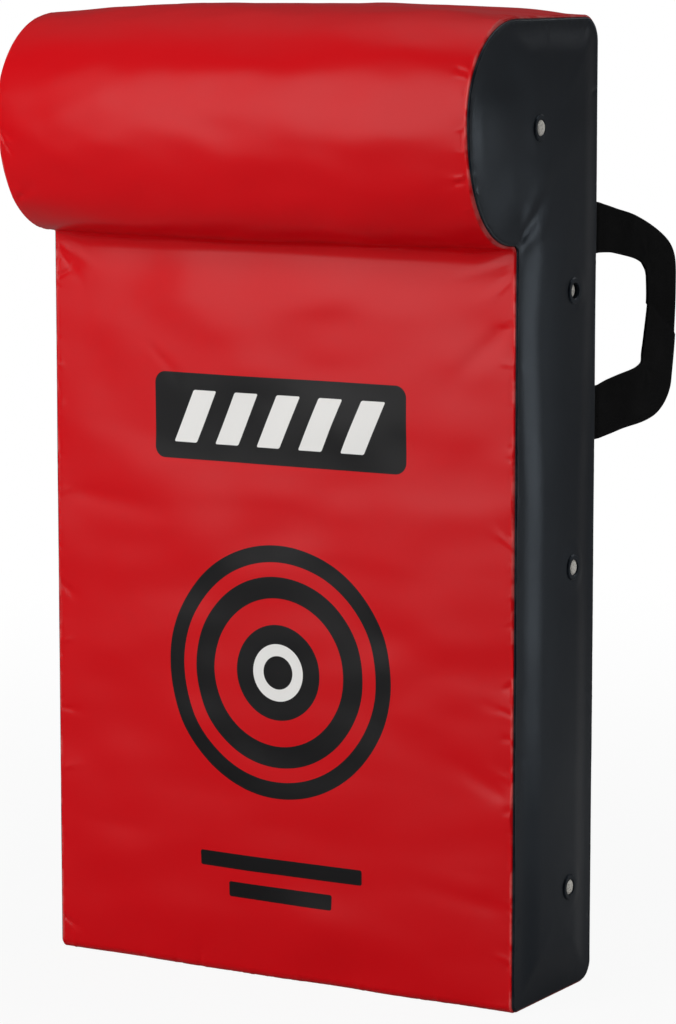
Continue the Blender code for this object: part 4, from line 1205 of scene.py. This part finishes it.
def hand_loop(side, sign):
    edges, ways = smooth_through([outer + inner for outer, inner in LOOP_EDGES], ALONG_COUNT)
    across = np.linspace(0, 1, ACROSS_COUNT)
    outer, inner = edges[:, None, :2], edges[:, None, 2:]
    flat = outer + (inner - outer) * across[None, :, None]
    y, z = flat[..., 0], flat[..., 1]
    lift = LOOP_LIFT * ease((y - LIFT_START) / LIFT_RUN)
    over = (z - TURN_SPOT[1]) - (y - TURN_SPOT[0]) * TURN_SLOPE
    turned = ease(-over / TURN_EDGE)
    tuck = -ROOT_TUCK * ease((TUCK_END - y) / TUCK_RUN)
    ripple = np.zeros_like(y)
    for spot_y, spot_z in CORNER_SPOTS:
        away = np.hypot(y - spot_y, z - spot_z)
        waves = np.sin(np.arctan2(z - spot_z, y - spot_y) * 5 + spot_z * 90)
        ripple += CORNER_RIPPLE * waves * ease(1 - away / RIPPLE_REACH) * ease(away / RIPPLE_START)
    waves = np.sin(ways[:, None] * 47.0 + across[None] * 1.3)
    slack = SLACK_HEIGHT * waves * ease((y - SLACK_START) / SLACK_RUN)
    x = WEBBING_X + lift + turned * TURNED_LIFT + ripple + slack + tuck
    corners = np.stack([x, y, z], axis=2).reshape(-1, 3)
    faces = []
    for row in range(ALONG_COUNT - 1):
        for column in range(ACROSS_COUNT - 1):
            first = row * ACROSS_COUNT + column
            quad = (first, first + 1, first + ACROSS_COUNT + 1, first + ACROSS_COUNT)
            faces.append(quad if sign > 0 else quad[::-1])
    corners[:, 0] *= sign
    mesh = bpy.data.meshes.new("hand_loop_webbing_" + side)
    mesh.from_pydata(corners.tolist(), [], faces)
    for name, values in (("along", np.repeat(ways, ACROSS_COUNT)),
                         ("across", np.tile(across, ALONG_COUNT)), ("turned", turned.ravel())):
        mesh.attributes.new(name, "FLOAT", "POINT").data.foreach_set("value", values.astype(np.float32))
    mesh.shade_smooth()
    loop = placed("hand_loop_webbing_" + side, mesh)
    thickness = loop.modifiers.new("webbing", "SOLIDIFY")
    thickness.thickness = WEBBING_THICKNESS
    thickness.offset = 0
    return loop


def webbing(place, seam):
    """Flat woven webbing: fine ribs along its length, crossed by the weft, and a bound selvedge."""
    along = place.node("Attribute", {"attribute_name": "along"}, {}, output="Fac")
    across = place.node("Attribute", {"attribute_name": "across"}, {}, output="Fac")
    rib = across.math("SINE", across * (RIBS_ACROSS * 2 * math.pi))
    weft = along.math("SINE", along * (2 * math.pi / WEFT_PITCH))
    weave = rib * weft * 0.5 + 0.5
    edge = abs(across - 0.5).rise(0.455, 0.475)
    turned = place.node("Attribute", {"attribute_name": "turned"}, {}, output="Fac")
    # Dust in patches, and the turned-over layer below the fold painted lighter: painted light, standing
    # in for the shade on the layer above the fold.
    dust_and_painted_light = place.noise(35.0, 4.0).rise(0.45, 0.8) * 0.4 + turned * 0.3
    return {"Base Color": (weave * 0.35 + dust_and_painted_light).tint(WEBBING_BLACK, WEBBING_DUST_AND_LIGHT),
            "Roughness": 0.82 - weave * 0.1, "Specular IOR Level": 0.05,
            "Normal": (weave * (1 - edge) + edge).bump(WEAVE_DEPTH)}


webbing_finish = finish("black_webbing", webbing)
for side, sign in (("right", 1), ("left", -1)):
    loop = hand_loop(side, sign)
    loop.data.materials.append(webbing_finish)
    "hand_loop_" + side
    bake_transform(loop)
    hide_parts("hand_loop_" + side, f"loop_tail_{side}_upper", f"loop_tail_{side}_lower")
